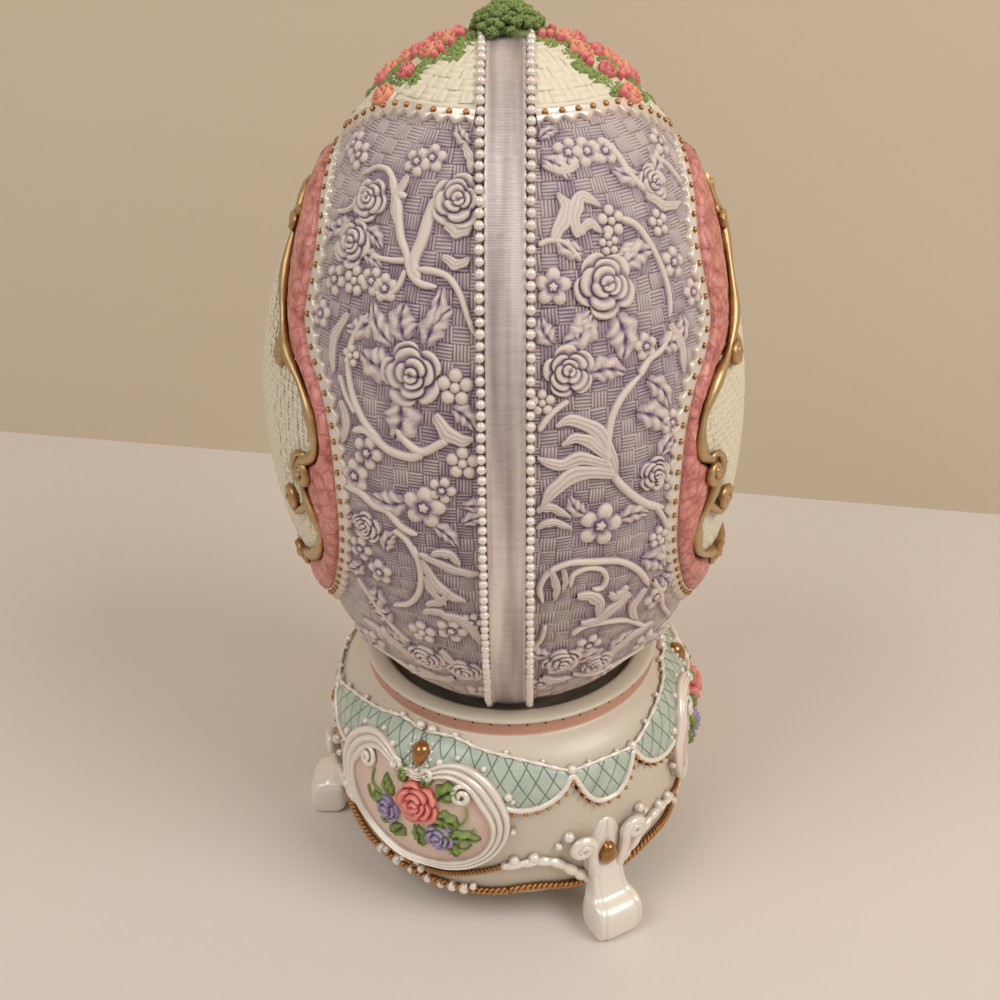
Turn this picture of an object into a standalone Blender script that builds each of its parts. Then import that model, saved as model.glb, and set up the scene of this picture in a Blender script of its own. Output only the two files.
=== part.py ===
"""Pedestal egg music box.

A hollow painted resin egg turns on a three-footed resin base. A wind-up movement in the base plays a
comb and turns the egg, and its key is under the base. Metres, +Z up, origin on the table under the
middle of the base. The decorated front of the egg looks along -Y, and azimuth is counted in degrees
from -Y towards +X.
"""
import math

import bmesh
import bpy
from mathutils import Matrix, Vector

MM = 0.001

# Gaps
SEAT = 0.3 * MM              # between pieces that touch
RUNNING = 0.15 * MM          # radial clearance of a turning shaft
FACET = 0.15 * MM            # added where a faceted piece follows a curved one
THROUGH = 1.0 * MM           # how far a cutter runs past a face
END_PLAY = 0.4 * MM          # along a shaft, between a turning piece and its bearing

# Egg
EGG_RADIUS = 43.0 * MM
EGG_HALF_HEIGHT = 65.1 * MM
EGG_FOOT_Z = 40.6 * MM       # clear of the cup's floor
EGG_MIDDLE_Z = EGG_FOOT_Z + EGG_HALF_HEIGHT
EGG_TOP_Z = EGG_MIDDLE_Z + EGG_HALF_HEIGHT
EGG_BLUNTNESS = 0.932        # below 1 fills the ends out
EGG_TAPER = 0.065            # narrows the upper half
EGG_WALL = 4.0 * MM
EGG_STEPS = 13               # facets round one half
EGG_RINGS = 16               # facets from the top to the foot
EGG_LAND = 1.6 * MM          # height of the flat inside the foot, over the wall
SEAM_GAP = 0.3 * MM
RELIEF_HEIGHT = 1.4 * MM     # of the flowers cast on the egg
STEM_RADIUS = 1.0 * MM
STEM_STEPS = 5               # straights in a stem of the relief
RIBBON_WIDTH = 5.8 * MM
RIBBON_THICKNESS = 0.5 * MM
PEARL_DIAMETER = 2.0 * MM
PEARL_RIBBON_GAP = 0.2 * MM
RIBBON_END_Z = 46.5 * MM     # both trims tuck into the cup here
LACE_WIDTH = 1.5 * MM
LACE_THICKNESS = 1.2 * MM
LACE_TOP_Z = EGG_TOP_Z - 8.2 * MM
FRAME_TOP_SHARE = 0.714      # a side frame's top, over the egg's middle, as a share of its half height
LACE_SIDE_DROP = LACE_TOP_Z - EGG_MIDDLE_Z - FRAME_TOP_SHARE * EGG_HALF_HEIGHT - 2 * LACE_WIDTH
CAP_TOP_Z = EGG_TOP_Z - 2.5 * MM
CAP_THICKNESS = 0.8 * MM
FRAME_THICKNESS = 2.0 * MM
SCROLL_DIAMETER = 2.2 * MM
BULGE_LEFT = 2.6 * MM        # the left woven panel is domed, the right one nearly flat
BULGE_RIGHT = 0.5 * MM
PANEL_THICKNESS = 0.8 * MM
PANEL_INSET = 1.4 * MM       # from the gold bead to the woven panel
FOLIAGE_WIDTH = 15.0 * MM
FOLIAGE_DEPTH = 12.5 * MM
FOLIAGE_TOP_Z = EGG_TOP_Z + 4.2 * MM
GARLAND_ROSE = 3.3 * MM

# Base
BASE_RADIUS = 38.8 * MM      # the belly
BASE_BOTTOM_Z = 8.6 * MM
RIM_RADIUS = 31.8 * MM
RIM_TOP_Z = 50.0 * MM
RIM_EGG_GAP = 2.6 * MM       # from the egg to the rim, for the trims that pass it
BASE_WALL = 5.0 * MM
CAVITY_RADIUS = BASE_RADIUS - BASE_WALL
CAVITY_COVE = 4.0 * MM       # bevel between the cavity's wall and ceiling
CEILING_Z = 34.5 * MM
CUP_FLOOR_Z = 38.0 * MM
BUSHING_RADIUS = 4.0 * MM
BUSHING_FLANGE_RADIUS = 6.0 * MM
BASE_STEPS = 28             # facets round the base
FOOT_PROJECTION = 8.0 * MM   # past the belly
FOOT_REACH = BASE_RADIUS + FOOT_PROJECTION
FOOT_WIDTH = 10.5 * MM
FOOT_SCROLL_RADIUS = 3.4 * MM
FOOT_TOP_Z = 26.0 * MM
FOOT_OVAL_Z = 16.5 * MM
FOOT_AZIMUTHS = (30.0, 150.0, 270.0)
FOOT_NAMES = ("right_front", "right_back", "left")
MEDALLION_AZIMUTHS = (-30.0, 90.0, 210.0)
MEDALLION_NAMES = ("front", "right", "back")
MEDALLION_HALF_ANGLE = 31.0
MEDALLION_TOP_Z = 41.2 * MM
MEDALLION_BOTTOM_Z = 12.4 * MM
MEDALLION_DIP = 3.0 * MM      # the heart's dip, under the gem
MEDALLION_SHOULDER = 40.0 * MM  # how fast its top falls away to the sides
MEDALLION_RIM = 3.0 * MM
MEDALLION_RIM_THICKNESS = 2.4 * MM
PLAQUE_THICKNESS = 1.2 * MM
ROSE_RADIUS = 5.2 * MM
LEAF_BED_WIDTH = 21.0 * MM
LEAF_BED_HEIGHT = 17.0 * MM
GEM_LENGTH = 6.0 * MM
SWAG_TOP_Z = 43.4 * MM
SWAG_THICKNESS = 0.9 * MM
SMALL_SWAG_HALF_ANGLE = 10.0
BIG_SWAG_START = 13.0
BIG_SWAG_TURN = 42.0         # where its far end would meet the top, behind the medallion
SWAG_END = 54.5
SWAG_STRIP = 1.0 * MM        # height of the band between two scallops
SMALL_SWAG_DROP = 6.4 * MM
BIG_SWAG_DROP = 8.2 * MM
ROPE_DIAMETER = 1.8 * MM
ROPE_Z = 9.9 * MM
ARM_Z = 13.6 * MM
ARM_START = 3.0              # degrees from the foot's middle
ARM_END = 26.0
TRIM_SCROLL_DIAMETER = 2.2 * MM

# Cover and its fasteners
COVER_THICKNESS = 2.3 * MM
COVER_BOTTOM_Z = 10.3 * MM
BOSS_RADIUS = 3.4 * MM
BOSS_CIRCLE = CAVITY_RADIUS - 3.0 * MM
BOSS_AZIMUTHS = (30.0, 150.0, 270.0)
SCREW_RADIUS = 1.2 * MM
SCREW_HEAD_RADIUS = 2.4 * MM
SCREW_HEAD_HEIGHT = 1.0 * MM
COVER_SCREW_LENGTH = 9.0 * MM
SOUND_SLOTS = 5
SOUND_SLOT_PITCH = 4.0 * MM
SOUND_SLOT_WIDTH = 1.6 * MM
SOUND_SLOT_LENGTH = 8.0 * MM
SOUND_SLOT_WALL_GAP = 7.8 * MM  # from the slots' ends to the cavity's wall

# Movement
BEDPLATE_THICKNESS = 2.0 * MM
BARREL_RADIUS = 9.6 * MM
BARREL_HEIGHT = 9.4 * MM
BARREL_WALL = 0.8 * MM
BARREL_FLOAT = 0.6 * MM      # the toothed wheel clears the bedplate by this
RING_TEETH = 24
RING_RADIUS = 11.9 * MM      # pitch radius
RING_THICKNESS = 1.4 * MM
RING_ADDENDUM = 0.6 * MM     # tooth height over the pitch circle, and the depth under it
RING_DEDENDUM = 0.9 * MM
PINION_TEETH = 8
PINION_LENGTH = 1.2 * MM
PINION_ADDENDUM = 0.6 * MM
PINION_DEDENDUM = 0.8 * MM
CROWN_MESH_DEPTH = 1.0 * MM  # how far the pinion's teeth reach into the ring's
ARBOR_RADIUS = 1.6 * MM
SPINDLE_RADIUS = 2.2 * MM
SPRING_TURNS = 5
SPRING_STRIP = 0.35 * MM
CYLINDER_RADIUS = 3.6 * MM
MOVEMENT_WALL_GAP = 3.2 * MM  # from the bedplate's right edge to the cavity's wall
PIN_HEIGHT = 0.4 * MM
AXLE_RADIUS = 0.9 * MM
GOVERNOR_SHAFT_RADIUS = 0.7 * MM
BRACKET_THICKNESS = 1.2 * MM
BRACKET_MARGIN = 3.0 * MM    # metal round a shaft's hole
NOTES = 18
PINS = 20
COMB_THICKNESS = 1.0 * MM
COMB_DEPTH = 12.0 * MM       # tooth tip to back edge
COMB_TIP_GAP = 0.25 * MM     # the tips stand clear of the pins' path
COMB_SCREW_RADIUS = 0.8 * MM
COMB_SCREW_DEPTH = 2.4 * MM  # into the land under the comb
NOTE_MARGIN = 0.8 * MM       # from the cylinder's end to the first note
END_GEAR_TEETH = 16
GOVERNOR_PINION_TEETH = 8
GEAR_MODULE = 0.575 * MM
GEAR_ADDENDUM = 0.36 * MM
GEAR_DEDENDUM = 0.5 * MM
GEAR_THICKNESS = 1.2 * MM
WORM_WHEEL_TEETH = 12
WORM_WHEEL_RADIUS = 2.3 * MM
WORM_WHEEL_ADDENDUM = 0.25 * MM
WORM_WHEEL_DEDENDUM = 0.7 * MM
WORM_FROM_CYLINDER_END = 5.0 * MM
WORM_DEPTH = 0.35 * MM
GOVERNOR_FRAME_OFFSET = 3.2 * MM
WORM_RADIUS = 1.25 * MM
FLY_WIDTH = 8.0 * MM
FLY_HEIGHT = 3.6 * MM
FLY_OVER_AXIS = 4.2 * MM     # from the cylinder's axis up to the fly
KEY_WIDTH = 18.0 * MM
KEY_THICKNESS = 1.8 * MM
KEY_FLOOR_GAP = 1.2 * MM
KEY_COVER_GAP = 1.6 * MM
KEY_HUB_RADIUS = 3.0 * MM
KEY_WEB_INSET = 1.4 * MM     # the web between the wings is this much lower than they are
KEY_EYE_WALL = 2.0 * MM
KEY_SOCKET_FLOOR = 1.7 * MM
HUB_RADIUS = 5.7 * MM
HUB_FLANGE_RADIUS = 12.0 * MM
HUB_FLANGE_THICKNESS = 2.0 * MM

for old in list(bpy.data.objects):
    bpy.data.objects.remove(old, do_unlink=True)

parts = bpy.data.collections.new("pedestal_egg_music_box")
cutters = bpy.data.collections.new("cutters")
bpy.context.scene.collection.children.link(parts)
bpy.context.scene.collection.children.link(cutters)


def material(name, colour, roughness, metallic=0.0):
    made = bpy.data.materials.new(name)
    made.use_nodes = True
    shader = made.node_tree.nodes["Principled BSDF"]
    shader.inputs["Base Color"].default_value = (*colour, 1.0)
    shader.inputs["Roughness"].default_value = roughness
    shader.inputs["Metallic"].default_value = metallic
    made.diffuse_color = (*colour, 1.0)
    return made


LAVENDER = material("lavender_resin", (0.42, 0.34, 0.52), 0.7)
CREAM = material("cream_resin", (0.78, 0.72, 0.60), 0.4)
WOVEN = material("woven_cream_resin", (0.74, 0.68, 0.56), 0.6)
PEARL = material("pearl_paint", (0.82, 0.80, 0.76), 0.25)
PINK = material("pink_resin", (0.72, 0.36, 0.32), 0.6)
GOLD = material("gold_paint", (0.55, 0.36, 0.12), 0.35, 0.8)
AQUA = material("aqua_resin", (0.42, 0.62, 0.56), 0.5)
ROSE = material("rose_resin", (0.72, 0.20, 0.22), 0.5)
PALE_PINK = material("pale_pink_resin", (0.80, 0.62, 0.54), 0.5)
GREEN = material("leaf_green_resin", (0.10, 0.20, 0.06), 0.7)
SATIN = material("ribbon_satin", (0.66, 0.60, 0.66), 0.4)
STEEL = material("steel", (0.55, 0.55, 0.56), 0.35, 1.0)
BRASS = material("brass", (0.72, 0.52, 0.22), 0.3, 1.0)
ZINC = material("cast_zinc", (0.50, 0.50, 0.51), 0.5, 1.0)
COVER_PLASTIC = material("cover_plastic", (0.76, 0.72, 0.64), 0.5)


def add_object(name, bm, paint, smooth=True):
    mesh = bpy.data.meshes.new(name)
    bm.to_mesh(mesh)
    bm.free()
    mesh.materials.append(paint)
    if smooth:
        mesh.shade_smooth()
        mesh.set_sharp_from_angle(angle=math.radians(35))
    made = bpy.data.objects.new(name, mesh)
    parts.objects.link(made)
    return made


def as_cutter(tool):
    parts.objects.unlink(tool)
    cutters.objects.link(tool)
    tool.hide_render = True
    tool.display_type = "WIRE"
    return tool


def combine(target, tool, operation):
    """Unites a tool with a piece or cuts it out, and files the tool with the cutters."""
    if tool.name in parts.objects:
        as_cutter(tool)
    joint = target.modifiers.new(operation.lower(), "BOOLEAN")
    joint.operation = operation
    joint.object = tool
    joint.solver = "EXACT"
    joint.use_self = operation == "DIFFERENCE" and target.get("lumps", False)
    return target


def turned(name, profile, paint, steps=32):
    """A closed profile of (radius, height) points turned about Z, listed down its outer side."""
    bm = bmesh.new()
    ring = [bm.verts.new((radius, 0.0, height)) for radius, height in profile]
    for first, second in zip(ring, ring[1:] + ring[:1]):
        if first.co.x > 1e-9 or second.co.x > 1e-9:
            bm.edges.new((first, second))
    made = add_object(name, bm, paint, smooth=False)
    screw = made.modifiers.new("turn", "SCREW")
    screw.steps = steps
    screw.render_steps = steps
    screw.use_merge_vertices = True
    screw.merge_threshold = 0.00001
    screw.use_smooth_shade = True
    return made


def rod(name, radius, start, end, paint, segments=16):
    """A round rod between two points."""
    start, end = Vector(start), Vector(end)
    bm = bmesh.new()
    bmesh.ops.create_cone(bm, cap_ends=True, segments=segments, radius1=radius, radius2=radius,
                          depth=(end - start).length)
    turn = Vector((0, 0, 1)).rotation_difference(end - start).to_matrix().to_4x4()
    bm.transform(Matrix.Translation((start + end) / 2) @ turn)
    return add_object(name, bm, paint)


def block(name, low, high, paint):
    """A box between two corners."""
    low, high = Vector(low), Vector(high)
    bm = bmesh.new()
    bmesh.ops.create_cube(bm, size=1.0)
    bm.transform(Matrix.Translation((low + high) / 2) @ Matrix.Diagonal((*(high - low), 1.0)))
    return add_object(name, bm, paint, smooth=False)


def sheet(name, columns, rows, place, thickness, paint, flip=False):
    """A grid laid out by place(u, v) and thickened outwards."""
    bm = bmesh.new()
    bmesh.ops.create_grid(bm, x_segments=columns, y_segments=rows, size=0.5)
    for vert in bm.verts:
        vert.co = place(vert.co.x + 0.5, vert.co.y + 0.5)
    bmesh.ops.remove_doubles(bm, verts=bm.verts, dist=0.00001)
    if flip:
        bmesh.ops.reverse_faces(bm, faces=bm.faces)
    made = add_object(name, bm, paint)
    shell = made.modifiers.new("thickness", "SOLIDIFY")
    shell.thickness = thickness
    shell.offset = 1.0
    shell.use_even_offset = False
    return made


def tube(name, runs, radius, paint, closed=False, sides=1):
    """A curve object of one or more tubes; its runs are lists of points."""
    curve = bpy.data.curves.new(name, "CURVE")
    curve.dimensions = "3D"
    curve.bevel_depth = radius
    curve.bevel_resolution = sides
    curve.use_fill_caps = not closed
    for points in runs:
        spline = curve.splines.new("POLY")
        spline.points.add(len(points) - 1)
        for point, place in zip(spline.points, points):
            point.co = (*place, 1.0)
        spline.use_cyclic_u = closed
    curve.materials.append(paint)
    made = bpy.data.objects.new(name, curve)
    parts.objects.link(made)
    return made


def to_mesh(made):
    """Turns a curve object into a mesh object with welded caps, so that it can be cut."""
    bpy.context.view_layer.update()
    seen = made.evaluated_get(bpy.context.evaluated_depsgraph_get())
    mesh = bpy.data.meshes.new_from_object(seen)
    bm = bmesh.new()
    bm.from_mesh(mesh)
    bmesh.ops.remove_doubles(bm, verts=bm.verts, dist=0.00001)
    bm.to_mesh(mesh)
    bm.free()
    name, place = made.name, made.matrix_world.copy()
    bpy.data.objects.remove(made)
    solid = bpy.data.objects.new(name, mesh)
    solid.matrix_world = place
    parts.objects.link(solid)
    return solid


def closed_grid(columns, rows, place):
    """A grid that place(u, v) rolls into a tube for u from 0 to 1, with its two ends filled."""
    bm = bmesh.new()
    bmesh.ops.create_grid(bm, x_segments=columns, y_segments=rows, size=0.5)
    for vert in bm.verts:
        vert.co = place(vert.co.x + 0.5, vert.co.y + 0.5)
    bmesh.ops.remove_doubles(bm, verts=bm.verts, dist=0.000001)
    bmesh.ops.holes_fill(bm, edges=[edge for edge in bm.edges if edge.is_boundary], sides=columns)
    bmesh.ops.recalc_face_normals(bm, faces=bm.faces)
    return bm


def lofted(name, sections, paint, segments=10):
    """A closed body through oval sections of (centre, half width along X, half depth along Y)."""
    def place(u, v):
        centre, half_width, half_depth = sections[int(round(v * (len(sections) - 1)))]
        turn = 2 * math.pi * u
        return Vector(centre) + Vector((half_width * math.cos(turn), half_depth * math.sin(turn), 0.0))
    return add_object(name, closed_grid(segments, len(sections) - 1, place), paint)


def lump_group(name, lumps, paint):
    """Overlapping rounded lumps of (centre, radii), which a later cut fuses into one body."""
    bm = bmesh.new()
    for centre, radii in lumps:
        ball = bmesh.ops.create_icosphere(bm, subdivisions=1, radius=1.1)
        for vert in ball["verts"]:
            way = vert.co.copy()
            ripple = 1.0 + 0.07 * math.sin(5.0 * way.x + 3.0 * way.y) * math.cos(4.0 * way.z)
            vert.co = Vector(centre) + Vector((way.x * radii[0], way.y * radii[1], way.z * radii[2])) * ripple
    made = add_object(name, bm, paint)
    made["lumps"] = True
    return made


def copies(source, names, azimuths):
    """Places a piece made at azimuth 0 at each azimuth, sharing its mesh and modifiers' result."""
    bpy.context.view_layer.update()
    seen = source.evaluated_get(bpy.context.evaluated_depsgraph_get())
    mesh = bpy.data.meshes.new_from_object(seen)
    parts.objects.unlink(source)
    cutters.objects.link(source)
    source.hide_render = True
    source.display_type = "WIRE"
    made = []
    for name, azimuth in zip(names, azimuths):
        copy = bpy.data.objects.new(name, mesh)
        copy.rotation_euler.z = math.radians(azimuth)
        parts.objects.link(copy)
        made.append(copy)
    return made


def along(points, share):
    """The point at a share 0 to 1 of the way along a smooth line through control points."""
    spans = len(points) - 1
    at = min(max(share, 0.0), 1.0) * spans
    index = min(int(at), spans - 1)
    step = at - index
    before = points[max(index - 1, 0)]
    first, second = points[index], points[index + 1]
    after = points[min(index + 2, spans)]
    result = []
    for a, b, c, d in zip(before, first, second, after):
        result.append(0.5 * (2 * b + (c - a) * step + (2 * a - 5 * b + 4 * c - d) * step ** 2
                             + (3 * b - a - 3 * c + d) * step ** 3))
    return result


def egg_turn_angle(height):
    """The profile angle, 0 at the egg's top and pi at its bottom, for a height."""
    share = (height - EGG_MIDDLE_Z) / EGG_HALF_HEIGHT
    return math.acos(min(max(share, -1.0), 1.0))


def egg_profile(angle):
    """Radius and height of the egg's surface at a profile angle."""
    radius = EGG_RADIUS * max(math.sin(angle), 0.0) ** EGG_BLUNTNESS * math.exp(-EGG_TAPER * math.cos(angle))
    return radius, EGG_MIDDLE_Z + EGG_HALF_HEIGHT * math.cos(angle)


def egg_offset(angle, lift):
    """Radius and height of a point that stands off the egg's surface by lift."""
    step = 0.002
    low_radius, low_height = egg_profile(max(angle - step, 0.0005))
    high_radius, high_height = egg_profile(min(angle + step, math.pi - 0.0005))
    slope = Vector((high_radius - low_radius, high_height - low_height)).normalized()
    radius, height = egg_profile(angle)
    return max(radius - slope.y * lift, 0.0), height + slope.x * lift


def egg_point(azimuth, height, lift):
    """A point over the egg at an azimuth and height."""
    radius, raised = egg_offset(egg_turn_angle(height), lift)
    turn = math.radians(azimuth)
    return Vector((radius * math.sin(turn), -radius * math.cos(turn), raised))


def egg_meridian_line(offset, lift, end_angle, count):
    """Points over the egg in the plane x = offset, from the front's foot over the top to the back's."""
    start = 0.0
    while egg_offset(start, lift)[0] < offset:
        start += 0.001
    front = []
    for index in range(count):
        radius, height = egg_offset(end_angle + (start - end_angle) * index / count, lift)
        front.append(Vector((offset, -math.sqrt(radius ** 2 - offset ** 2), height)))
    crest = Vector((offset, 0.0, egg_offset(start, lift)[1]))
    return front + [crest] + [Vector((point.x, -point.y, point.z)) for point in reversed(front)]


def grown_egg(name, lift):
    """A solid egg that stands off the real one by lift, to cut what sits on it."""
    count = 22
    profile = [egg_offset(math.pi * index / count, lift) for index in range(count + 1)]
    profile[0] = (0.0, profile[0][1])
    profile[-1] = (0.0, profile[-1][1])
    return as_cutter(turned(name, profile, LAVENDER, 44))


# Base outline from the rim's undercut down to the bottom edge, as shares of the step from the rim's
# radius out to the belly's, and of the height from the bottom to the rim's top
OUTLINE_SHARES = ((-0.086, 0.899), (0.229, 0.870), (0.543, 0.821), (0.786, 0.744), (0.929, 0.638),
                  (1.0, 0.493), (0.943, 0.251), (0.786, 0.070), (0.686, 0.0))
BASE_OUTLINE = [(RIM_RADIUS + (BASE_RADIUS - RIM_RADIUS) * across, BASE_BOTTOM_Z + (RIM_TOP_Z - BASE_BOTTOM_Z) * up)
                for across, up in OUTLINE_SHARES]
RIM_MOUTH_RADIUS = egg_profile(egg_turn_angle(RIM_TOP_Z))[0] + RIM_EGG_GAP


def base_point(azimuth, height, lift):
    """A point over the base's outer side at an azimuth and height."""
    rows = BASE_OUTLINE
    spot, way = rows[-1][0], Vector((1.0, 0.0))
    for (upper_radius, upper), (lower_radius, lower) in zip(rows, rows[1:]):
        if lower <= height <= upper or (height > upper and upper == rows[0][1]):
            share = (height - lower) / (upper - lower)
            spot = lower_radius + (upper_radius - lower_radius) * share
            way = Vector((upper - lower, lower_radius - upper_radius)).normalized()
            break
    turn = math.radians(azimuth)
    radius = spot + way.x * lift
    return Vector((radius * math.sin(turn), -radius * math.cos(turn), height + way.y * lift))


def grown_base(name, lift):
    """A solid of the base's outer side grown by lift, to cut what sits on it."""
    outline = [(radius + lift, height) for radius, height in BASE_OUTLINE]
    profile = [(0.0, outline[0][1] + lift), (outline[0][0], outline[0][1] + lift)] + outline
    profile += [(outline[-1][0], outline[-1][1] - lift), (0.0, outline[-1][1] - lift)]
    return as_cutter(turned(name, profile, CREAM, BASE_STEPS))


def gear(name, teeth, pitch_radius, addendum, dedendum, thickness, tooth_share, bore, paint):
    """A flat toothed wheel about Z from 0 to thickness, with a tooth on +X; its tips take tooth_share."""
    bm = bmesh.new()
    pitch_angle = 2 * math.pi / teeth
    outline = []
    for index in range(teeth):
        middle = index * pitch_angle
        for side, rise, share in ((-1, -dedendum, tooth_share * 1.5), (-1, addendum, tooth_share),
                                  (1, addendum, tooth_share), (1, -dedendum, tooth_share * 1.5)):
            at = middle + side * share * pitch_angle / 2
            outline.append((pitch_radius + rise, at))
    outer = [bm.verts.new((radius * math.cos(at), radius * math.sin(at), 0.0)) for radius, at in outline]
    rim = [bm.edges.new(pair) for pair in zip(outer, outer[1:] + outer[:1])]
    if bore:
        count = 12
        inner = [bm.verts.new((bore * math.cos(2 * math.pi * index / count),
                               bore * math.sin(2 * math.pi * index / count), 0.0))
                 for index in range(count)]
        rim += [bm.edges.new(pair) for pair in zip(inner, inner[1:] + inner[:1])]
    bmesh.ops.triangle_fill(bm, edges=rim, use_beauty=True)
    grown = bmesh.ops.extrude_face_region(bm, geom=bm.faces[:], use_keep_orig=True)
    raised = [item for item in grown["geom"] if isinstance(item, bmesh.types.BMVert)]
    bmesh.ops.translate(bm, verts=raised, vec=(0.0, 0.0, thickness))
    bmesh.ops.recalc_face_normals(bm, faces=bm.faces)
    return add_object(name, bm, paint, smooth=False)


def along_x(made, x, y, z, spin=0.0):
    """Stands a piece made about Z on an axis along +X, its foot at x."""
    stand = Matrix(((0, 0, 1, 0), (1, 0, 0, 0), (0, 1, 0, 0), (0, 0, 0, 1)))
    made.matrix_world = Matrix.Translation((x, y, z)) @ stand @ Matrix.Rotation(spin, 4, "Z")
    return made


# Egg shells

LAND_Z = EGG_FOOT_Z + EGG_WALL + EGG_LAND


def egg_half(name, side):
    """One half of the hollow egg, closed at the seam, with a flat land inside for the hub."""
    outer = []
    opening = HUB_RADIUS + SEAT
    foot = math.pi
    while egg_profile(foot)[0] < opening:
        foot -= 0.001
    for index in range(EGG_RINGS + 1):
        outer.append(egg_profile(foot * index / EGG_RINGS))
    inner = []
    land_edge = HUB_FLANGE_RADIUS + 3 * SEAT
    inner_rings = 10
    for index in range(inner_rings + 1):
        radius, height = egg_offset(foot * index / inner_rings, -EGG_WALL)
        if height > LAND_Z + SEAT and not (height < EGG_MIDDLE_Z and radius < land_edge):
            inner.append((radius if index else 0.0, height))
    inner.append((land_edge, LAND_Z))
    inner.append((opening, LAND_Z))
    bm = bmesh.new()
    profile = outer + inner[::-1]
    profile[0] = (0.0, profile[0][1])
    ring = [bm.verts.new((0.0, -radius, height)) for radius, height in profile]
    face = bm.faces.new(ring)
    bmesh.ops.spin(bm, geom=[face] + list(face.edges) + ring, axis=(0, 0, 1), cent=(0, 0, 0),
                   angle=side * math.pi, steps=EGG_STEPS, use_duplicate=False)
    bmesh.ops.remove_doubles(bm, verts=bm.verts, dist=0.00001)
    bmesh.ops.recalc_face_normals(bm, faces=bm.faces)
    bmesh.ops.translate(bm, verts=bm.verts, vec=(side * SEAM_GAP / 2, 0.0, 0.0))
    return add_object(name, bm, LAVENDER)


# Main forms of the relief cast on the front: flowers as (degrees from the seam, share of the egg's half
# height above its middle, radius in millimetres) and stems through such points; the back is the front turned
RELIEF_FLOWERS = (
    (25, 0.508, 5.4), (14.2, 0.327, 4.3), (16.5, 0.104, 4.4), (34.5, 0.020, 3.2), (21, -0.091, 3.7),
    (20.5, -0.341, 2.8), (15, -0.571, 3.9), (28.5, -0.610, 3.4), (44, -0.564, 3.2), (58, -0.671, 3.6),
    (23, 0.674, 3), (50, 0.696, 3.2), (36, 0.782, 2.2), (12, 0.518, 2.3), (33.5, 0.158, 2.8),
    (38, 0.343, 2.6), (76, -0.717, 3.2), (33, -0.250, 2.6), (-21.6, 0.309, 5.5), (-24.5, 0.558, 3.2),
    (-43.5, 0.677, 3.4), (-45.5, 0.551, 3.6), (-33.5, 0.481, 2.4), (-16, 0.696, 2.3), (-12, 0.189, 2.5),
    (-33.5, 0.043, 3.2), (-19, -0.032, 4), (-33.5, -0.134, 3.1), (-12, -0.272, 2.9), (-35, -0.246, 2.6),
    (-15, -0.435, 3.2), (-24, -0.587, 3.9), (-36, -0.456, 2.8), (-41, -0.610, 3), (-58, -0.687, 3.4),
    (-76, -0.717, 3.2), (-12.5, 0.427, 2.4), (-43, 0.273, 2.2), (-27.5, 0.780, 2.2))
RELIEF_STEMS = (
    ((31.6, 0.287), (23.2, 0.166), (24.2, 0.045), (38, -0.094)),
    ((8.6, -0.313), (9.8, -0.217), (20, -0.201), (31, -0.253), (37, -0.349)),
    ((34, 0.641), (41.3, 0.573), (43.6, 0.465)),
    ((-38, 0.717), (-31, 0.644), (-25, 0.542), (-17.5, 0.518)),
    ((-34.5, 0.432), (-39.3, 0.320), (-36, 0.210), (-28.5, 0.126)),
    ((-29.2, -0.382), (-21.6, -0.321), (-20.6, -0.233), (-22, -0.155)),)


def flowers(name, side):
    """Low blunt bosses in place of one half's flowers."""
    bm = bmesh.new()
    for degrees, share, size in RELIEF_FLOWERS:
        azimuth = degrees if degrees * side > 0 else degrees + 180
        height = EGG_MIDDLE_Z + EGG_HALF_HEIGHT * share
        root, crest = (egg_point(azimuth, height, lift) for lift in (-EGG_WALL / 4, RELIEF_HEIGHT))
        turn = Vector((0, 0, 1)).rotation_difference(crest - root).to_matrix().to_4x4()
        bmesh.ops.create_cone(bm, cap_ends=True, segments=6, radius1=size * MM, radius2=0.66 * size * MM,
                              depth=(crest - root).length, matrix=Matrix.Translation((root + crest) / 2) @ turn)
    return add_object(name, bm, LAVENDER)


def stems(name, side):
    """Round rods, half sunk, in place of one half's main stems."""
    runs = []
    for line in RELIEF_STEMS:
        turned_by = 0 if line[0][0] * side > 0 else 180
        points = [along(line, index / STEM_STEPS) for index in range(STEM_STEPS + 1)]
        runs.append([egg_point(degrees + turned_by, EGG_MIDDLE_Z + EGG_HALF_HEIGHT * share, 0.0)
                     for degrees, share in points])
    return to_mesh(tube(name, runs, STEM_RADIUS, LAVENDER))


for side, side_name in ((1, "right"), (-1, "left")):
    shell = egg_half("egg_%s_half" % side_name, side)
    combine(shell, flowers("flowers_" + side_name, side), "UNION")
    combine(shell, stems("stems_" + side_name, side), "UNION")

# Ribbon and pearl rows

PEARL_X = RIBBON_WIDTH / 2 + PEARL_RIBBON_GAP + PEARL_DIAMETER / 2
TRIM_END = egg_turn_angle(RIBBON_END_Z)


def ribbon_place(u, v):
    angle = TRIM_END * (2 * v - 1)
    radius, height = egg_offset(abs(angle), SEAT + FACET)
    depth = radius if angle >= 0 else -radius
    return Vector(((u - 0.5) * RIBBON_WIDTH, depth, height))


ribbon = sheet("ribbon", 1, 38, ribbon_place, RIBBON_THICKNESS, SATIN)


def pearl_row(name, side, growth=0.0):
    """The row of pearls along one edge of the ribbon, right over the egg."""
    radius = PEARL_DIAMETER / 2
    points = egg_meridian_line(PEARL_X, SEAT + FACET + radius, TRIM_END, 15)
    return tube(name, [[Vector((side * x, y, z)) for x, y, z in points]], radius + growth, PEARL)


pearl_row("pearl_row_left", -1)
pearl_row("pearl_row_right", 1)

# Side frames, their lace, scrolls and woven panels; half outlines run from the top to the bottom as
# (degrees from the side's middle, share of the egg's half height above its middle)

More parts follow.
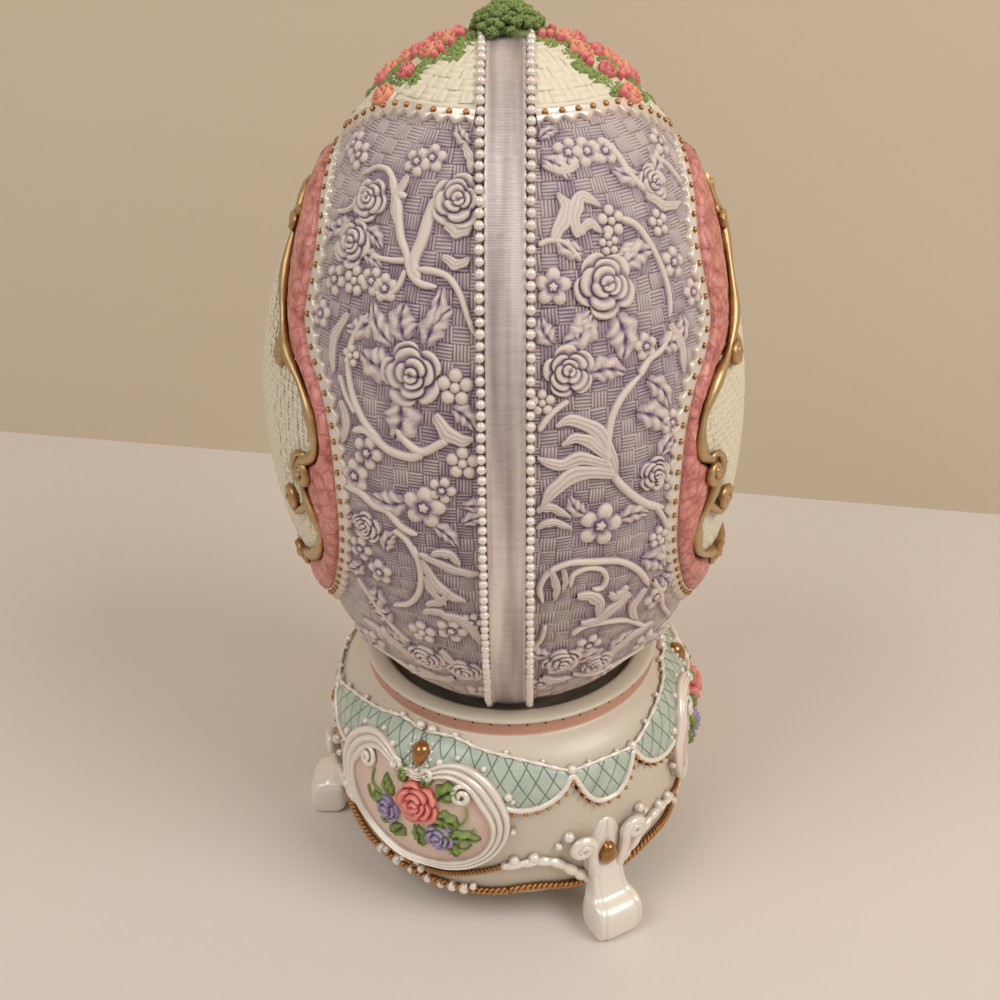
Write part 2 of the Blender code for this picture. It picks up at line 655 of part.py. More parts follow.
FRAME_OUTER = ((0.0, FRAME_TOP_SHARE), (10.0, 0.693), (19.0, 0.642), (27.0, 0.573), (30.5, 0.504),
               (31.5, 0.427), (32.5, 0.358), (37.0, 0.281), (42.5, 0.212), (46.2, 0.120), (47.8, 0.005),
               (48.0, -0.118), (46.8, -0.218), (43.5, -0.318), (37.0, -0.425), (25.0, -0.525),
               (12.0, -0.579), (0.0, -0.598))
FRAME_INNER = ((0.0, 0.634), (6.0, 0.585), (11.0, 0.519), (15.5, 0.442), (20.0, 0.366), (24.5, 0.304),
               (29.5, 0.260), (36.0, 0.220), (41.5, 0.158), (44.2, 0.089), (43.5, 0.020), (38.0, -0.032),
               (37.0, -0.080), (39.5, -0.134), (42.6, -0.183), (42.0, -0.249), (37.0, -0.326),
               (24.0, -0.395), (0.0, -0.449))
SIDES = ((-90.0, "left"), (90.0, "right"))
SIDE_STEPS = 44              # points round each side outline


def side_loop(outline, u):
    """Degrees from the side's middle and height, once round a side outline for u from 0 to 1."""
    degrees, share = along(outline, 1 - abs(1 - 2 * u))
    return (degrees if u <= 0.5 else -degrees), EGG_MIDDLE_Z + EGG_HALF_HEIGHT * share


def shrunk(outline, u, inset):
    """A point of a side outline drawn inwards by a distance."""
    degrees, height = side_loop(outline, u)
    ahead = side_loop(outline, (u + 0.004) % 1.0)
    behind = side_loop(outline, (u - 0.004) % 1.0)
    radius = egg_profile(egg_turn_angle(height))[0]
    per_degree = radius * math.pi / 180
    run = Vector(((ahead[0] - behind[0]) * per_degree, ahead[1] - behind[1])).normalized()
    return degrees + run.y * inset / per_degree, height - run.x * inset


def side_frame(name, middle):
    def place(u, v):
        outer = side_loop(FRAME_OUTER, u)
        inner = side_loop(FRAME_INNER, u)
        degrees = inner[0] + (outer[0] - inner[0]) * v
        height = inner[1] + (outer[1] - inner[1]) * v
        return egg_point(middle + degrees, height, 2 * SEAT)
    return sheet(name, SIDE_STEPS, 4, place, FRAME_THICKNESS, PINK)


def side_lace(name, middle):
    def place(u, v):
        degrees, height = shrunk(FRAME_OUTER, u, -(SEAT + LACE_WIDTH * v))
        return egg_point(middle + degrees, height, SEAT)
    return sheet(name, SIDE_STEPS, 1, place, LACE_THICKNESS, PEARL)


def side_panel(name, middle, bulge):
    def place(u, v):
        degrees, height = shrunk(FRAME_INNER, 0.5 - 0.5 * v, SCROLL_DIAMETER + PANEL_INSET)
        across = 2 * u - 1
        lift = SEAT + FACET + bulge * (1 - across ** 2) * math.sin(math.pi * v) ** 0.7
        return egg_point(middle + max(degrees, 0.0) * across, height, lift)
    return sheet(name, 8, 22, place, PANEL_THICKNESS, WOVEN)


def side_scrollwork(name, middle):
    """The gold scrolled bead along the frame's inner edge."""
    inset = SEAT + FACET + SCROLL_DIAMETER / 2
    lift = SEAT + FACET + SCROLL_DIAMETER / 2
    run = []
    for index in range(SIDE_STEPS):
        degrees, height = shrunk(FRAME_INNER, index / SIDE_STEPS, inset)
        run.append(egg_point(middle + degrees, height, lift))
    return tube(name, [run], SCROLL_DIAMETER / 2, GOLD, closed=True, sides=0)


for middle, side_name in SIDES:
    side_frame("frame_" + side_name, middle)
    side_scrollwork("scrollwork_" + side_name, middle)
    side_panel("woven_panel_" + side_name, middle, BULGE_LEFT if side_name == "left" else BULGE_RIGHT)

# Cap: lace line, woven cap panels, rose sprays and the foliage at the apex

TRIM_CLEAR = PEARL_X + PEARL_DIAMETER / 2 + SEAT


def beside_trim(height, u):
    """Azimuth from the front trim round one side to the back trim, for u from 0 to 1."""
    edge = math.degrees(math.asin(TRIM_CLEAR / egg_profile(egg_turn_angle(height))[0]))
    return edge + (180 - 2 * edge) * u


def top_lace(name, side):
    def place(u, v):
        across = abs(2 * u - 1)
        drop = LACE_SIDE_DROP * max(0.0, 1 - across / 0.45) ** 1.5
        height = LACE_TOP_Z - drop - LACE_WIDTH * v
        return egg_point(side * beside_trim(height, u), height, SEAT)
    return sheet(name, 18, 1, place, LACE_THICKNESS, PEARL, flip=side > 0)


def cap_panel(name, side):
    def place(u, v):
        across = abs(2 * u - 1)
        drop = LACE_SIDE_DROP * max(0.0, 1 - across / 0.45) ** 1.5
        low = LACE_TOP_Z + SEAT - drop
        height = CAP_TOP_Z + (low - CAP_TOP_Z) * v
        return egg_point(side * beside_trim(height, u), height, SEAT + FACET)
    return sheet(name, 12, 3, place, CAP_THICKNESS, WOVEN, flip=side > 0)


def rose_spray(name, side):
    """Roses and leaves that lie over the cap from the apex foliage down one side."""
    lumps = []
    for index in range(5):
        azimuth = side * (90 + 5 * math.sin(2.2 * index))
        reach = FOLIAGE_WIDTH / 2 + 2.4 * MM + index * 3.0 * MM
        angle = 0.0
        while egg_profile(angle)[0] < reach:
            angle += 0.002
        size = GARLAND_ROSE * (1.0 if index % 2 == 0 else 0.8)
        centre = egg_point(azimuth, egg_profile(angle)[1], SEAT + CAP_THICKNESS + 0.5 * size)
        lumps.append((centre, (size, size, 0.8 * size)))
    made = lump_group(name, lumps, ROSE)
    return combine(made, grown_egg(name + "_seat", 2 * SEAT + CAP_THICKNESS), "DIFFERENCE")


def apex_foliage():
    low = EGG_TOP_Z
    lumps = [((0.0, 0.0, low), (FOLIAGE_WIDTH / 2 - 1.2 * MM, FOLIAGE_DEPTH / 2 - 0.8 * MM, FOLIAGE_TOP_Z - low))]
    for index in range(6):
        turn = 2 * math.pi * (index + 0.5) / 6
        lumps.append(((math.cos(turn) * (FOLIAGE_WIDTH / 2 - 2.4 * MM),
                       math.sin(turn) * (FOLIAGE_DEPTH / 2 - 2.2 * MM), low + 1.0 * MM),
                      (2.3 * MM, 2.1 * MM, 2.0 * MM)))
    made = lump_group("apex_foliage", lumps, GREEN)
    for side in (-1, 1):
        combine(made, to_mesh(pearl_row("foliage_pearl_seat_%d" % side, side, SEAT)), "DIFFERENCE")
    return combine(made, grown_egg("foliage_seat", 3 * SEAT + RIBBON_THICKNESS), "DIFFERENCE")


for side, side_name in ((-1, "left"), (1, "right")):
    combine(top_lace("lace_" + side_name, side), side_lace("frame_lace_" + side_name, side * 90.0), "UNION")
    cap_panel("cap_panel_" + side_name, side)
    rose_spray("rose_spray_" + side_name, side)
apex_foliage()

# Hub in the egg's foot, on the spindle of the movement

HUB_BOTTOM_Z = EGG_FOOT_Z + 2 * SEAT
BORE = SPINDLE_RADIUS + SEAT
hub = turned("egg_hub", (
    (HUB_FLANGE_RADIUS, LAND_Z + SEAT + HUB_FLANGE_THICKNESS),
    (HUB_FLANGE_RADIUS, LAND_Z + SEAT),
    (HUB_RADIUS, LAND_Z + SEAT),
    (HUB_RADIUS, HUB_BOTTOM_Z),
    (BORE, HUB_BOTTOM_Z),
    (BORE, LAND_Z + SEAT + HUB_FLANGE_THICKNESS)), BRASS, 20)

# Resin base: cup, belly and cavity as one casting, with three bosses for the cover

base_profile = [
    (RIM_MOUTH_RADIUS + 2.2 * MM, RIM_TOP_Z),
    (RIM_RADIUS - 0.8 * MM, RIM_TOP_Z - 0.4 * MM),
    (RIM_RADIUS, RIM_TOP_Z - 1.6 * MM),
    (RIM_RADIUS - 1.5 * MM, RIM_TOP_Z - 2.6 * MM),
    (RIM_RADIUS - 1.6 * MM, RIM_TOP_Z - 3.5 * MM),
]
base_profile += list(BASE_OUTLINE)
base_profile += [
    (CAVITY_RADIUS, BASE_BOTTOM_Z),
    (CAVITY_RADIUS, CEILING_Z - CAVITY_COVE),
    (CAVITY_RADIUS - CAVITY_COVE, CEILING_Z),
    (BUSHING_RADIUS + SEAT, CEILING_Z),
    (BUSHING_RADIUS + SEAT, CUP_FLOOR_Z),
]
CUP_SHARES = ((0.52, 0.02), (0.77, 0.22), (0.94, 0.55), (1.0, 0.92))  # of the mouth's radius and the cup's depth
base_profile += [(RIM_MOUTH_RADIUS * across, CUP_FLOOR_Z + (RIM_TOP_Z - CUP_FLOOR_Z) * up)
                 for across, up in CUP_SHARES]
base_body = turned("base_body", base_profile, CREAM, BASE_STEPS)
COVER_TOP_Z = COVER_BOTTOM_Z + COVER_THICKNESS


def boss_spot(azimuth, circle=BOSS_CIRCLE):
    turn = math.radians(azimuth)
    return circle * math.sin(turn), -circle * math.cos(turn)


for index, azimuth in enumerate(BOSS_AZIMUTHS):
    x, y = boss_spot(azimuth)
    post = rod("boss_%d" % index, BOSS_RADIUS, (x, y, COVER_TOP_Z + SEAT), (x, y, CEILING_Z + THROUGH), CREAM)
    combine(base_body, post, "UNION")
for index, azimuth in enumerate(BOSS_AZIMUTHS):
    x, y = boss_spot(azimuth)
    hole = rod("boss_hole_%d" % index, SCREW_RADIUS + SEAT, (x, y, COVER_TOP_Z - THROUGH),
               (x, y, COVER_BOTTOM_Z + COVER_SCREW_LENGTH + SEAT), CREAM, 10)
    combine(base_body, hole, "DIFFERENCE")

bushing = turned("spindle_bushing", (
    (BUSHING_FLANGE_RADIUS, CUP_FLOOR_Z + SEAT + 1.0 * MM),
    (BUSHING_FLANGE_RADIUS, CUP_FLOOR_Z + SEAT),
    (BUSHING_RADIUS, CUP_FLOOR_Z + SEAT),
    (BUSHING_RADIUS, CEILING_Z - 0.5 * MM),
    (SPINDLE_RADIUS + RUNNING, CEILING_Z - 0.5 * MM),
    (SPINDLE_RADIUS + RUNNING, CUP_FLOOR_Z + SEAT + 1.0 * MM)), BRASS, 16)

# Swags: one small scallop over each foot and a big one on each side of it, which runs up to the gem


def swag_low(offset):
    """Lower edge of the aqua band at an angle from the foot."""
    far = abs(offset)
    if far < (SMALL_SWAG_HALF_ANGLE + BIG_SWAG_START) / 2:
        share, drop = min(far / SMALL_SWAG_HALF_ANGLE, 1.0), SMALL_SWAG_DROP
    else:
        middle = (BIG_SWAG_START + BIG_SWAG_TURN) / 2
        share, drop = min(abs(far - middle) / (middle - BIG_SWAG_START), 1.0), BIG_SWAG_DROP
    return SWAG_TOP_Z - SWAG_STRIP - (drop - SWAG_STRIP) * (1 - share ** 2) ** 0.5


def medallion_top(offset):
    """Upper edge of a medallion's frame at an angle from its middle, a shallow heart."""
    share = min(abs(offset) / MEDALLION_HALF_ANGLE, 1.0)
    fall = 0.5 * MEDALLION_DIP * (1 - share) ** 6 + MEDALLION_SHOULDER * max(share - 0.55, 0.0) ** 2
    return MEDALLION_TOP_Z - fall


def swag_sector(name):
    def place(u, v):
        offset = SWAG_END * (2 * u - 1)
        low = swag_low(offset)
        from_medallion = 60.0 - abs(offset)
        if from_medallion < MEDALLION_HALF_ANGLE + 1.0:
            low = max(low, medallion_top(from_medallion) + 1.2 * MM)
        low = min(low, SWAG_TOP_Z - SWAG_STRIP)
        high = SWAG_TOP_Z + 0.35 * MM * math.sin(math.radians(offset * 18))
        return base_point(offset, low + (high - low) * v, 2 * SEAT)
    return sheet(name, 30, 2, place, SWAG_THICKNESS, AQUA)


copies(swag_sector("swag_pattern"), ["swags_" + name for name in FOOT_NAMES], FOOT_AZIMUTHS)

# Medallions: a pale plaque, a pearly scrolled frame, a bouquet and a gem, made at azimuth 0


def medallion_loop(u, inset):
    """Azimuth and height round the cartouche, for u from 0 to 1, drawn inwards by a distance."""
    turn = 2 * math.pi * u
    middle_z = (MEDALLION_TOP_Z + MEDALLION_BOTTOM_Z) / 2
    half_height = (MEDALLION_TOP_Z - MEDALLION_BOTTOM_Z) / 2
    across, up = math.sin(turn), math.cos(turn)
    up = math.copysign(abs(up) ** 0.8, up)
    dip = MEDALLION_DIP * math.exp(-(across / 0.22) ** 2) if up > 0 else 0.0
    lobe = 1.0 + 0.05 * math.cos(3 * turn)
    half_width = math.radians(MEDALLION_HALF_ANGLE) * BASE_RADIUS * lobe - inset
    azimuth = math.degrees(half_width / BASE_RADIUS * across * (1.0 - 0.12 * max(-up, 0.0) ** 2))
    return azimuth, middle_z + (half_height - inset) * up - dip


def medallion_frame(name):
    def place(u, v):
        azimuth, height = medallion_loop(u, MEDALLION_RIM * (1 - v))
        return base_point(azimuth, height, SEAT + FACET)
    return sheet(name, 20, 1, place, MEDALLION_RIM_THICKNESS, PEARL)


def plaque(name):
    def place(u, v):
        turn = (u - 0.5) / 2
        top = medallion_loop(turn, MEDALLION_RIM * 0.4)
        bottom = medallion_loop(0.5 - turn, MEDALLION_RIM * 0.4)
        azimuth = bottom[0] + (top[0] - bottom[0]) * v
        return base_point(azimuth, bottom[1] + (top[1] - bottom[1]) * v, 2 * SEAT)
    return sheet(name, 8, 3, place, PLAQUE_THICKNESS, PALE_PINK)


GEM_Z = MEDALLION_TOP_Z - MEDALLION_DIP + GEM_LENGTH / 2 - 2.4 * MM


def gem_lump(name):
    """A drop-shaped gem at the dip of the medallion's frame."""
    centre = base_point(0.0, GEM_Z, SEAT + 1.8 * MM)
    bm = bmesh.new()
    bmesh.ops.create_uvsphere(bm, u_segments=7, v_segments=5, radius=1.0)
    half = GEM_LENGTH / 2
    for vert in bm.verts:
        taper = 1.0 + 0.25 * vert.co.z
        vert.co = Vector((vert.co.x * 0.68 * half * taper, vert.co.y * 0.6 * half, vert.co.z * half)) + centre
    return add_object(name, bm, GOLD)


def bouquet():
    middle = (MEDALLION_TOP_Z + MEDALLION_BOTTOM_Z) / 2
    seat = 3 * SEAT + PLAQUE_THICKNESS
    spots = ((1.0, 2.6, 1.0), (-8.0, -2.2, 0.62), (4.0, -6.0, 0.62), (-3.0, -6.2, 0.5),
             (8.0, 2.2, 0.5), (9.0, -2.6, 0.45), (-8.5, 3.0, 0.42), (0.5, -9.0, 0.38))
    lumps = [(base_point(0.0, middle - 1.8 * MM, seat), (LEAF_BED_WIDTH / 2, 2.2 * MM, LEAF_BED_HEIGHT / 2))]
    for across, up, share in spots:
        size = ROSE_RADIUS * share
        azimuth = math.degrees(across * MM / BASE_RADIUS)
        lumps.append((base_point(azimuth, middle + up * MM, seat + 0.15 * size),
                      (size, 0.62 * size, size)))
    made = lump_group("bouquet_pattern", lumps, ROSE)
    return combine(made, grown_base("bouquet_seat", seat), "DIFFERENCE")


medallion = medallion_frame("medallion_pattern")
combine(medallion, plaque("medallion_ground"), "UNION")
gem = gem_lump("medallion_gem")
combine(gem, grown_base("gem_seat", SEAT + FACET), "DIFFERENCE")
combine(medallion, gem, "UNION")
copies(medallion, ["medallion_" + name for name in MEDALLION_NAMES], MEDALLION_AZIMUTHS)
copies(bouquet(), ["bouquet_" + name for name in MEDALLION_NAMES], MEDALLION_AZIMUTHS)

# Gold rope round the bottom edge, behind the feet


def base_run(start, end, height, lift, count):
    return [base_point(start + (end - start) * index / (count - 1), height, lift) for index in range(count)]


def rope_ring(name, growth=0.0):
    count = 30
    run = base_run(0.0, 360.0 - 360.0 / count, ROPE_Z, SEAT + ROPE_DIAMETER / 2 + FACET, count)
    return tube(name, [run], ROPE_DIAMETER / 2 + growth, GOLD, closed=True)


rope_ring("rope_trim")

# Feet: a scroll that stands on the table, a narrow ankle and a spreading leaf, with a gold boss


FOOT_LEAF_Y = -(BASE_RADIUS + 1.6 * MM)  # middle of the leaf, where it is thickest
FOOT_LEAF_DEPTH = 3.4 * MM


def foot():
    out = -(FOOT_REACH - FOOT_SCROLL_RADIUS)
    ankle_depth = (FOOT_PROJECTION - FOOT_SCROLL_RADIUS) / 2 + 3 * SEAT
    leg = lofted("foot_pattern", (
        ((0, out, 2.4 * MM), 0.40 * FOOT_WIDTH, 2.4 * MM),
        ((0, out + 1.2 * MM, 6.0 * MM), 0.36 * FOOT_WIDTH, 2.9 * MM),
        ((0, (out - BASE_RADIUS) / 2, 10.0 * MM), 0.36 * FOOT_WIDTH, ankle_depth),
        ((0, FOOT_LEAF_Y, 15.0 * MM), 0.50 * FOOT_WIDTH, FOOT_LEAF_DEPTH),
        ((0, FOOT_LEAF_Y + 0.6 * MM, 20.0 * MM), 0.62 * FOOT_WIDTH, 0.85 * FOOT_LEAF_DEPTH),
        ((0, FOOT_LEAF_Y + 1.4 * MM, 24.0 * MM), 0.52 * FOOT_WIDTH, 0.6 * FOOT_LEAF_DEPTH),
        ((0, FOOT_LEAF_Y + 2.0 * MM, FOOT_TOP_Z), 0.22 * FOOT_WIDTH, 0.3 * FOOT_LEAF_DEPTH)), PEARL)
    half = FOOT_WIDTH / 2
    scroll = rod("foot_scroll", FOOT_SCROLL_RADIUS, (-half, out, FOOT_SCROLL_RADIUS + SEAT),
                 (half, out, FOOT_SCROLL_RADIUS + SEAT), PEARL, 14)
    sole = block("foot_sole", (-half + 0.4 * MM, out - 2.4 * MM, 0.0),
                 (half - 0.4 * MM, out + 2.4 * MM, FOOT_SCROLL_RADIUS), PEARL)
    combine(leg, scroll, "UNION")
    combine(leg, sole, "UNION")
    combine(leg, foot_gem("foot_gem"), "UNION")
    for side in (-1, 1):
        arm = base_run(side * ARM_START, side * ARM_END, ARM_Z, SEAT + TRIM_SCROLL_DIAMETER / 2 + FACET, 5)
        combine(leg, to_mesh(tube("foot_arm_%d" % side, [arm], TRIM_SCROLL_DIAMETER / 2, PEARL,
                                sides=0)), "UNION")
    combine(leg, to_mesh(rope_ring("foot_rope_seat", SEAT)), "DIFFERENCE")
    return combine(leg, grown_base("foot_base_seat", SEAT + FACET), "DIFFERENCE")


def foot_gem(name):
    """The gold oval set in the leaf of a foot."""
    centre = Vector((0.0, FOOT_LEAF_Y - FOOT_LEAF_DEPTH + 2 * SEAT, FOOT_OVAL_Z))
    bm = bmesh.new()
    bmesh.ops.create_uvsphere(bm, u_segments=7, v_segments=5, radius=1.0)
    for vert in bm.verts:
        vert.co = Vector((vert.co.x * 2.2 * MM, vert.co.y * 1.4 * MM, vert.co.z * 3.3 * MM)) + centre
    return add_object(name, bm, GOLD)


copies(foot(), ["foot_" + name for name in FOOT_NAMES], FOOT_AZIMUTHS)

# Bottom cover with its screws, sound slots and the key's hole

KEY_HOLE = ARBOR_RADIUS + SEAT + 0.5 * MM
cover = turned("bottom_cover", (
    (CAVITY_RADIUS - SEAT, COVER_TOP_Z), (CAVITY_RADIUS - SEAT, COVER_BOTTOM_Z),
    (KEY_HOLE, COVER_BOTTOM_Z), (KEY_HOLE, COVER_TOP_Z)), COVER_PLASTIC, BASE_STEPS)

# Along +X the movement runs ring wheel, inner lug, cylinder, end gear and outer lug; the cylinder takes
# the room that the cavity leaves
INNER_BRACKET_X = RING_RADIUS + RING_ADDENDUM + 2 * END_PLAY + 0.1 * MM
CYLINDER_X = INNER_BRACKET_X + BRACKET_THICKNESS + END_PLAY
BED_RIGHT_X = CAVITY_RADIUS - MOVEMENT_WALL_GAP
OUTER_BRACKET_X = BED_RIGHT_X - END_PLAY - BRACKET_THICKNESS
END_GEAR_X = OUTER_BRACKET_X - END_PLAY - GEAR_THICKNESS
CYLINDER_LENGTH = END_GEAR_X - END_PLAY - CYLINDER_X

BED_BOTTOM_Z = COVER_TOP_Z + SEAT
BED_TOP_Z = BED_BOTTOM_Z + BEDPLATE_THICKNESS
BED_LEFT_X = -(RING_RADIUS + RING_ADDENDUM + 0.5 * MM)
BED_BACK_Y = RING_RADIUS + RING_ADDENDUM + SCREW_HEAD_RADIUS
SCREW_X = BED_LEFT_X + 4.5 * MM
MOVEMENT_SCREW_SPOTS = ((SCREW_X, -BED_BACK_Y + 2.5 * MM), (SCREW_X, BED_BACK_Y - 4.0 * MM),
                        (RING_RADIUS + CYLINDER_LENGTH - 1.0 * MM, -1.0 * MM))


def screw(name, x, y, head_z, length, paint):
    """A round-headed screw driven up from below; its head bears on head_z."""
    profile = [(radius, head_z + height) for radius, height in (
        (0.0, length), (SCREW_RADIUS * 0.5, length), (SCREW_RADIUS, length - 0.6 * MM), (SCREW_RADIUS, -SEAT),
        (SCREW_HEAD_RADIUS, -SEAT), (SCREW_HEAD_RADIUS, -0.4 * SCREW_HEAD_HEIGHT),
        (0.7 * SCREW_HEAD_RADIUS, -SCREW_HEAD_HEIGHT), (0.0, -SCREW_HEAD_HEIGHT))]
    made = turned(name, profile, paint, 8)
    made.location = (x, y, 0.0)
    return made


for index, azimuth in enumerate(BOSS_AZIMUTHS):
    screw("cover_screw_%d" % (index + 1), *boss_spot(azimuth), COVER_BOTTOM_Z, COVER_SCREW_LENGTH, STEEL)
for index, (x, y) in enumerate(MOVEMENT_SCREW_SPOTS):
    screw("movement_screw_%d" % (index + 1), x, y, COVER_BOTTOM_Z, COVER_THICKNESS + BEDPLATE_THICKNESS, STEEL)

for index, (x, y) in enumerate([boss_spot(azimuth) for azimuth in BOSS_AZIMUTHS] + list(MOVEMENT_SCREW_SPOTS)):
    combine(cover, rod("cover_hole_%d" % index, SCREW_RADIUS + SEAT, (x, y, COVER_BOTTOM_Z - THROUGH),
                       (x, y, COVER_TOP_Z + THROUGH), CREAM, 8), "DIFFERENCE")
slot_end = CAVITY_RADIUS - SOUND_SLOT_WALL_GAP
for index in range(SOUND_SLOTS):
    x = (index - (SOUND_SLOTS - 1) / 2) * SOUND_SLOT_PITCH
    combine(cover, block("sound_slot_%d" % index,
                         (x - SOUND_SLOT_WIDTH / 2, slot_end - SOUND_SLOT_LENGTH, COVER_BOTTOM_Z - THROUGH),
                         (x + SOUND_SLOT_WIDTH / 2, slot_end, COVER_TOP_Z + THROUGH), CREAM), "DIFFERENCE")

# Movement. The spring barrel stands on the object's axis and carries the spindle. Its toothed wheel
# drives the pinned cylinder, which lies along +X, and that drives the governor.

RING_BOTTOM_Z = BED_TOP_Z + BARREL_FLOAT
RING_TOP_Z = RING_BOTTOM_Z + RING_THICKNESS
PINION_PITCH = RING_RADIUS * PINION_TEETH / RING_TEETH
CYLINDER_Z = RING_TOP_Z + PINION_PITCH + PINION_ADDENDUM - CROWN_MESH_DEPTH
PINION_X = RING_RADIUS - PINION_LENGTH / 2
END_PITCH = GEAR_MODULE * END_GEAR_TEETH / 2
GOVERNOR_PITCH = GEAR_MODULE * GOVERNOR_PINION_TEETH / 2
GOVERNOR_Y = END_PITCH + GOVERNOR_PITCH
WORM_Y = GOVERNOR_Y + WORM_WHEEL_RADIUS + WORM_RADIUS
WORM_X = CYLINDER_X + CYLINDER_LENGTH - WORM_FROM_CYLINDER_END
WORM_CORE = WORM_RADIUS - WORM_DEPTH
GOVERNOR_FRAME_X = WORM_X - GOVERNOR_FRAME_OFFSET
BRACKET_TOP_Z = CYLINDER_Z + BRACKET_MARGIN
FLY_BOTTOM_Z = CYLINDER_Z + FLY_OVER_AXIS
FLY_BRIDGE_Z = FLY_BOTTOM_Z + FLY_HEIGHT + END_PLAY

ring_wheel = gear("barrel_wheel", RING_TEETH, RING_RADIUS, RING_ADDENDUM, RING_DEDENDUM, RING_THICKNESS, 0.34,
                  ARBOR_RADIUS + SEAT, BRASS)
ring_wheel.location.z = RING_BOTTOM_Z
ring_wheel.rotation_euler.z = math.pi / RING_TEETH

BARREL_BOTTOM_Z = RING_TOP_Z + SEAT
BARREL_TOP_Z = BARREL_BOTTOM_Z + BARREL_HEIGHT
turned("spring_barrel", (
    (0.0, BARREL_TOP_Z), (BARREL_RADIUS, BARREL_TOP_Z), (BARREL_RADIUS, BARREL_BOTTOM_Z),
    (BARREL_RADIUS - BARREL_WALL, BARREL_BOTTOM_Z),
    (BARREL_RADIUS - BARREL_WALL, BARREL_TOP_Z - BARREL_WALL), (0.0, BARREL_TOP_Z - BARREL_WALL)), STEEL, 24)


def mainspring():
    """A flat spiral strip between the arbor and the barrel's wall."""
    inner = ARBOR_RADIUS + 0.7 * MM
    outer = BARREL_RADIUS - BARREL_WALL - SEAT - SPRING_STRIP / 2
    count = SPRING_TURNS * 10
    low, high = BARREL_BOTTOM_Z + 0.7 * MM, BARREL_TOP_Z - BARREL_WALL - 0.7 * MM

    def place(u, v):
        turn = 2 * math.pi * SPRING_TURNS * u
        radius = inner + (outer - inner) * u
        return Vector((radius * math.cos(turn), radius * math.sin(turn), low + (high - low) * v))
    made = sheet("mainspring", count, 1, place, SPRING_STRIP, STEEL)
    made.modifiers["thickness"].offset = 0.0
    return made


mainspring()
turned("spindle", (
    (0.0, LAND_Z + HUB_FLANGE_THICKNESS), (SPINDLE_RADIUS, LAND_Z + HUB_FLANGE_THICKNESS),
    (SPINDLE_RADIUS, BARREL_TOP_Z + SEAT + 1.2 * MM), (4.0 * MM, BARREL_TOP_Z + SEAT + 1.2 * MM),
    (4.0 * MM, BARREL_TOP_Z + SEAT), (0.0, BARREL_TOP_Z + SEAT)), STEEL, 16)

# Winding arbor and butterfly key
KEY_TOP_Z = COVER_BOTTOM_Z - KEY_COVER_GAP
rod("winding_arbor", ARBOR_RADIUS, (0, 0, KEY_FLOOR_GAP + KEY_SOCKET_FLOOR + SEAT),
    (0, 0, BARREL_TOP_Z - BARREL_WALL - 1.0 * MM), STEEL)
KEY_WING = (KEY_TOP_Z - KEY_FLOOR_GAP) / 2
key = rod("winding_key", KEY_HUB_RADIUS, (0, 0, KEY_FLOOR_GAP), (0, 0, KEY_TOP_Z), BRASS)
for side in (-1, 1):
    x = side * (KEY_WIDTH / 2 - KEY_WING)
    middle = KEY_FLOOR_GAP + KEY_WING
    wing = rod("key_wing_%d" % side, KEY_WING, (x, -KEY_THICKNESS / 2, middle), (x, KEY_THICKNESS / 2, middle),
               BRASS, 12)
    combine(key, wing, "UNION")
combine(key, block("key_web", (-KEY_WIDTH / 2 + KEY_WING, -KEY_THICKNESS / 2, KEY_FLOOR_GAP + KEY_WEB_INSET),
                   (KEY_WIDTH / 2 - KEY_WING, KEY_THICKNESS / 2, KEY_TOP_Z - KEY_WEB_INSET), BRASS), "UNION")
for side in (-1, 1):
    x = side * (KEY_WIDTH / 2 - KEY_WING)
    combine(key, rod("key_eye_%d" % side, KEY_WING - KEY_EYE_WALL,
                     (x, -KEY_THICKNESS / 2 - THROUGH, KEY_FLOOR_GAP + KEY_WING),
                     (x, KEY_THICKNESS / 2 + THROUGH, KEY_FLOOR_GAP + KEY_WING), BRASS, 8), "DIFFERENCE")
combine(key, rod("key_bore", ARBOR_RADIUS + SEAT, (0, 0, KEY_FLOOR_GAP + KEY_SOCKET_FLOOR),
                 (0, 0, KEY_TOP_Z + THROUGH), BRASS), "DIFFERENCE")

# Pinned cylinder with its arbor, pinion and end gear
cylinder = along_x(rod("pinned_cylinder", CYLINDER_RADIUS, (0, 0, 0), (0, 0, CYLINDER_LENGTH), BRASS, 20),
                   CYLINDER_X, 0.0, CYLINDER_Z)
GOLDEN_ANGLE = math.pi * (3 - math.sqrt(5))
pins = bmesh.new()
NOTE_PITCH = (CYLINDER_LENGTH - 2 * NOTE_MARGIN) / (NOTES - 1)
for index in range(PINS):
    note = index % NOTES
    turn = GOLDEN_ANGLE * index
    tip = bmesh.ops.create_cube(pins, size=1.0)
    shape = Matrix.Rotation(turn, 4, "Z")
    shape = shape @ Matrix.Translation((CYLINDER_RADIUS, 0, NOTE_MARGIN + note * NOTE_PITCH))
    shape = shape @ Matrix.Diagonal((2 * PIN_HEIGHT, 0.3 * MM, 0.3 * MM, 1.0))
    bmesh.ops.transform(pins, matrix=shape, verts=tip["verts"])
combine(cylinder, along_x(add_object("cylinder_pins", pins, STEEL, smooth=False), CYLINDER_X, 0.0, CYLINDER_Z),
        "UNION")
arbor_bore = along_x(rod("cylinder_bore", AXLE_RADIUS + SEAT, (0, 0, -THROUGH), (0, 0, CYLINDER_LENGTH + THROUGH),
                         BRASS, 12), CYLINDER_X, 0.0, CYLINDER_Z)
combine(cylinder, arbor_bore, "DIFFERENCE")
cylinder_arbor = rod("cylinder_arbor", AXLE_RADIUS, (PINION_X - 0.6 * MM, 0, CYLINDER_Z),
                     (OUTER_BRACKET_X + BRACKET_THICKNESS, 0, CYLINDER_Z), STEEL, 12)
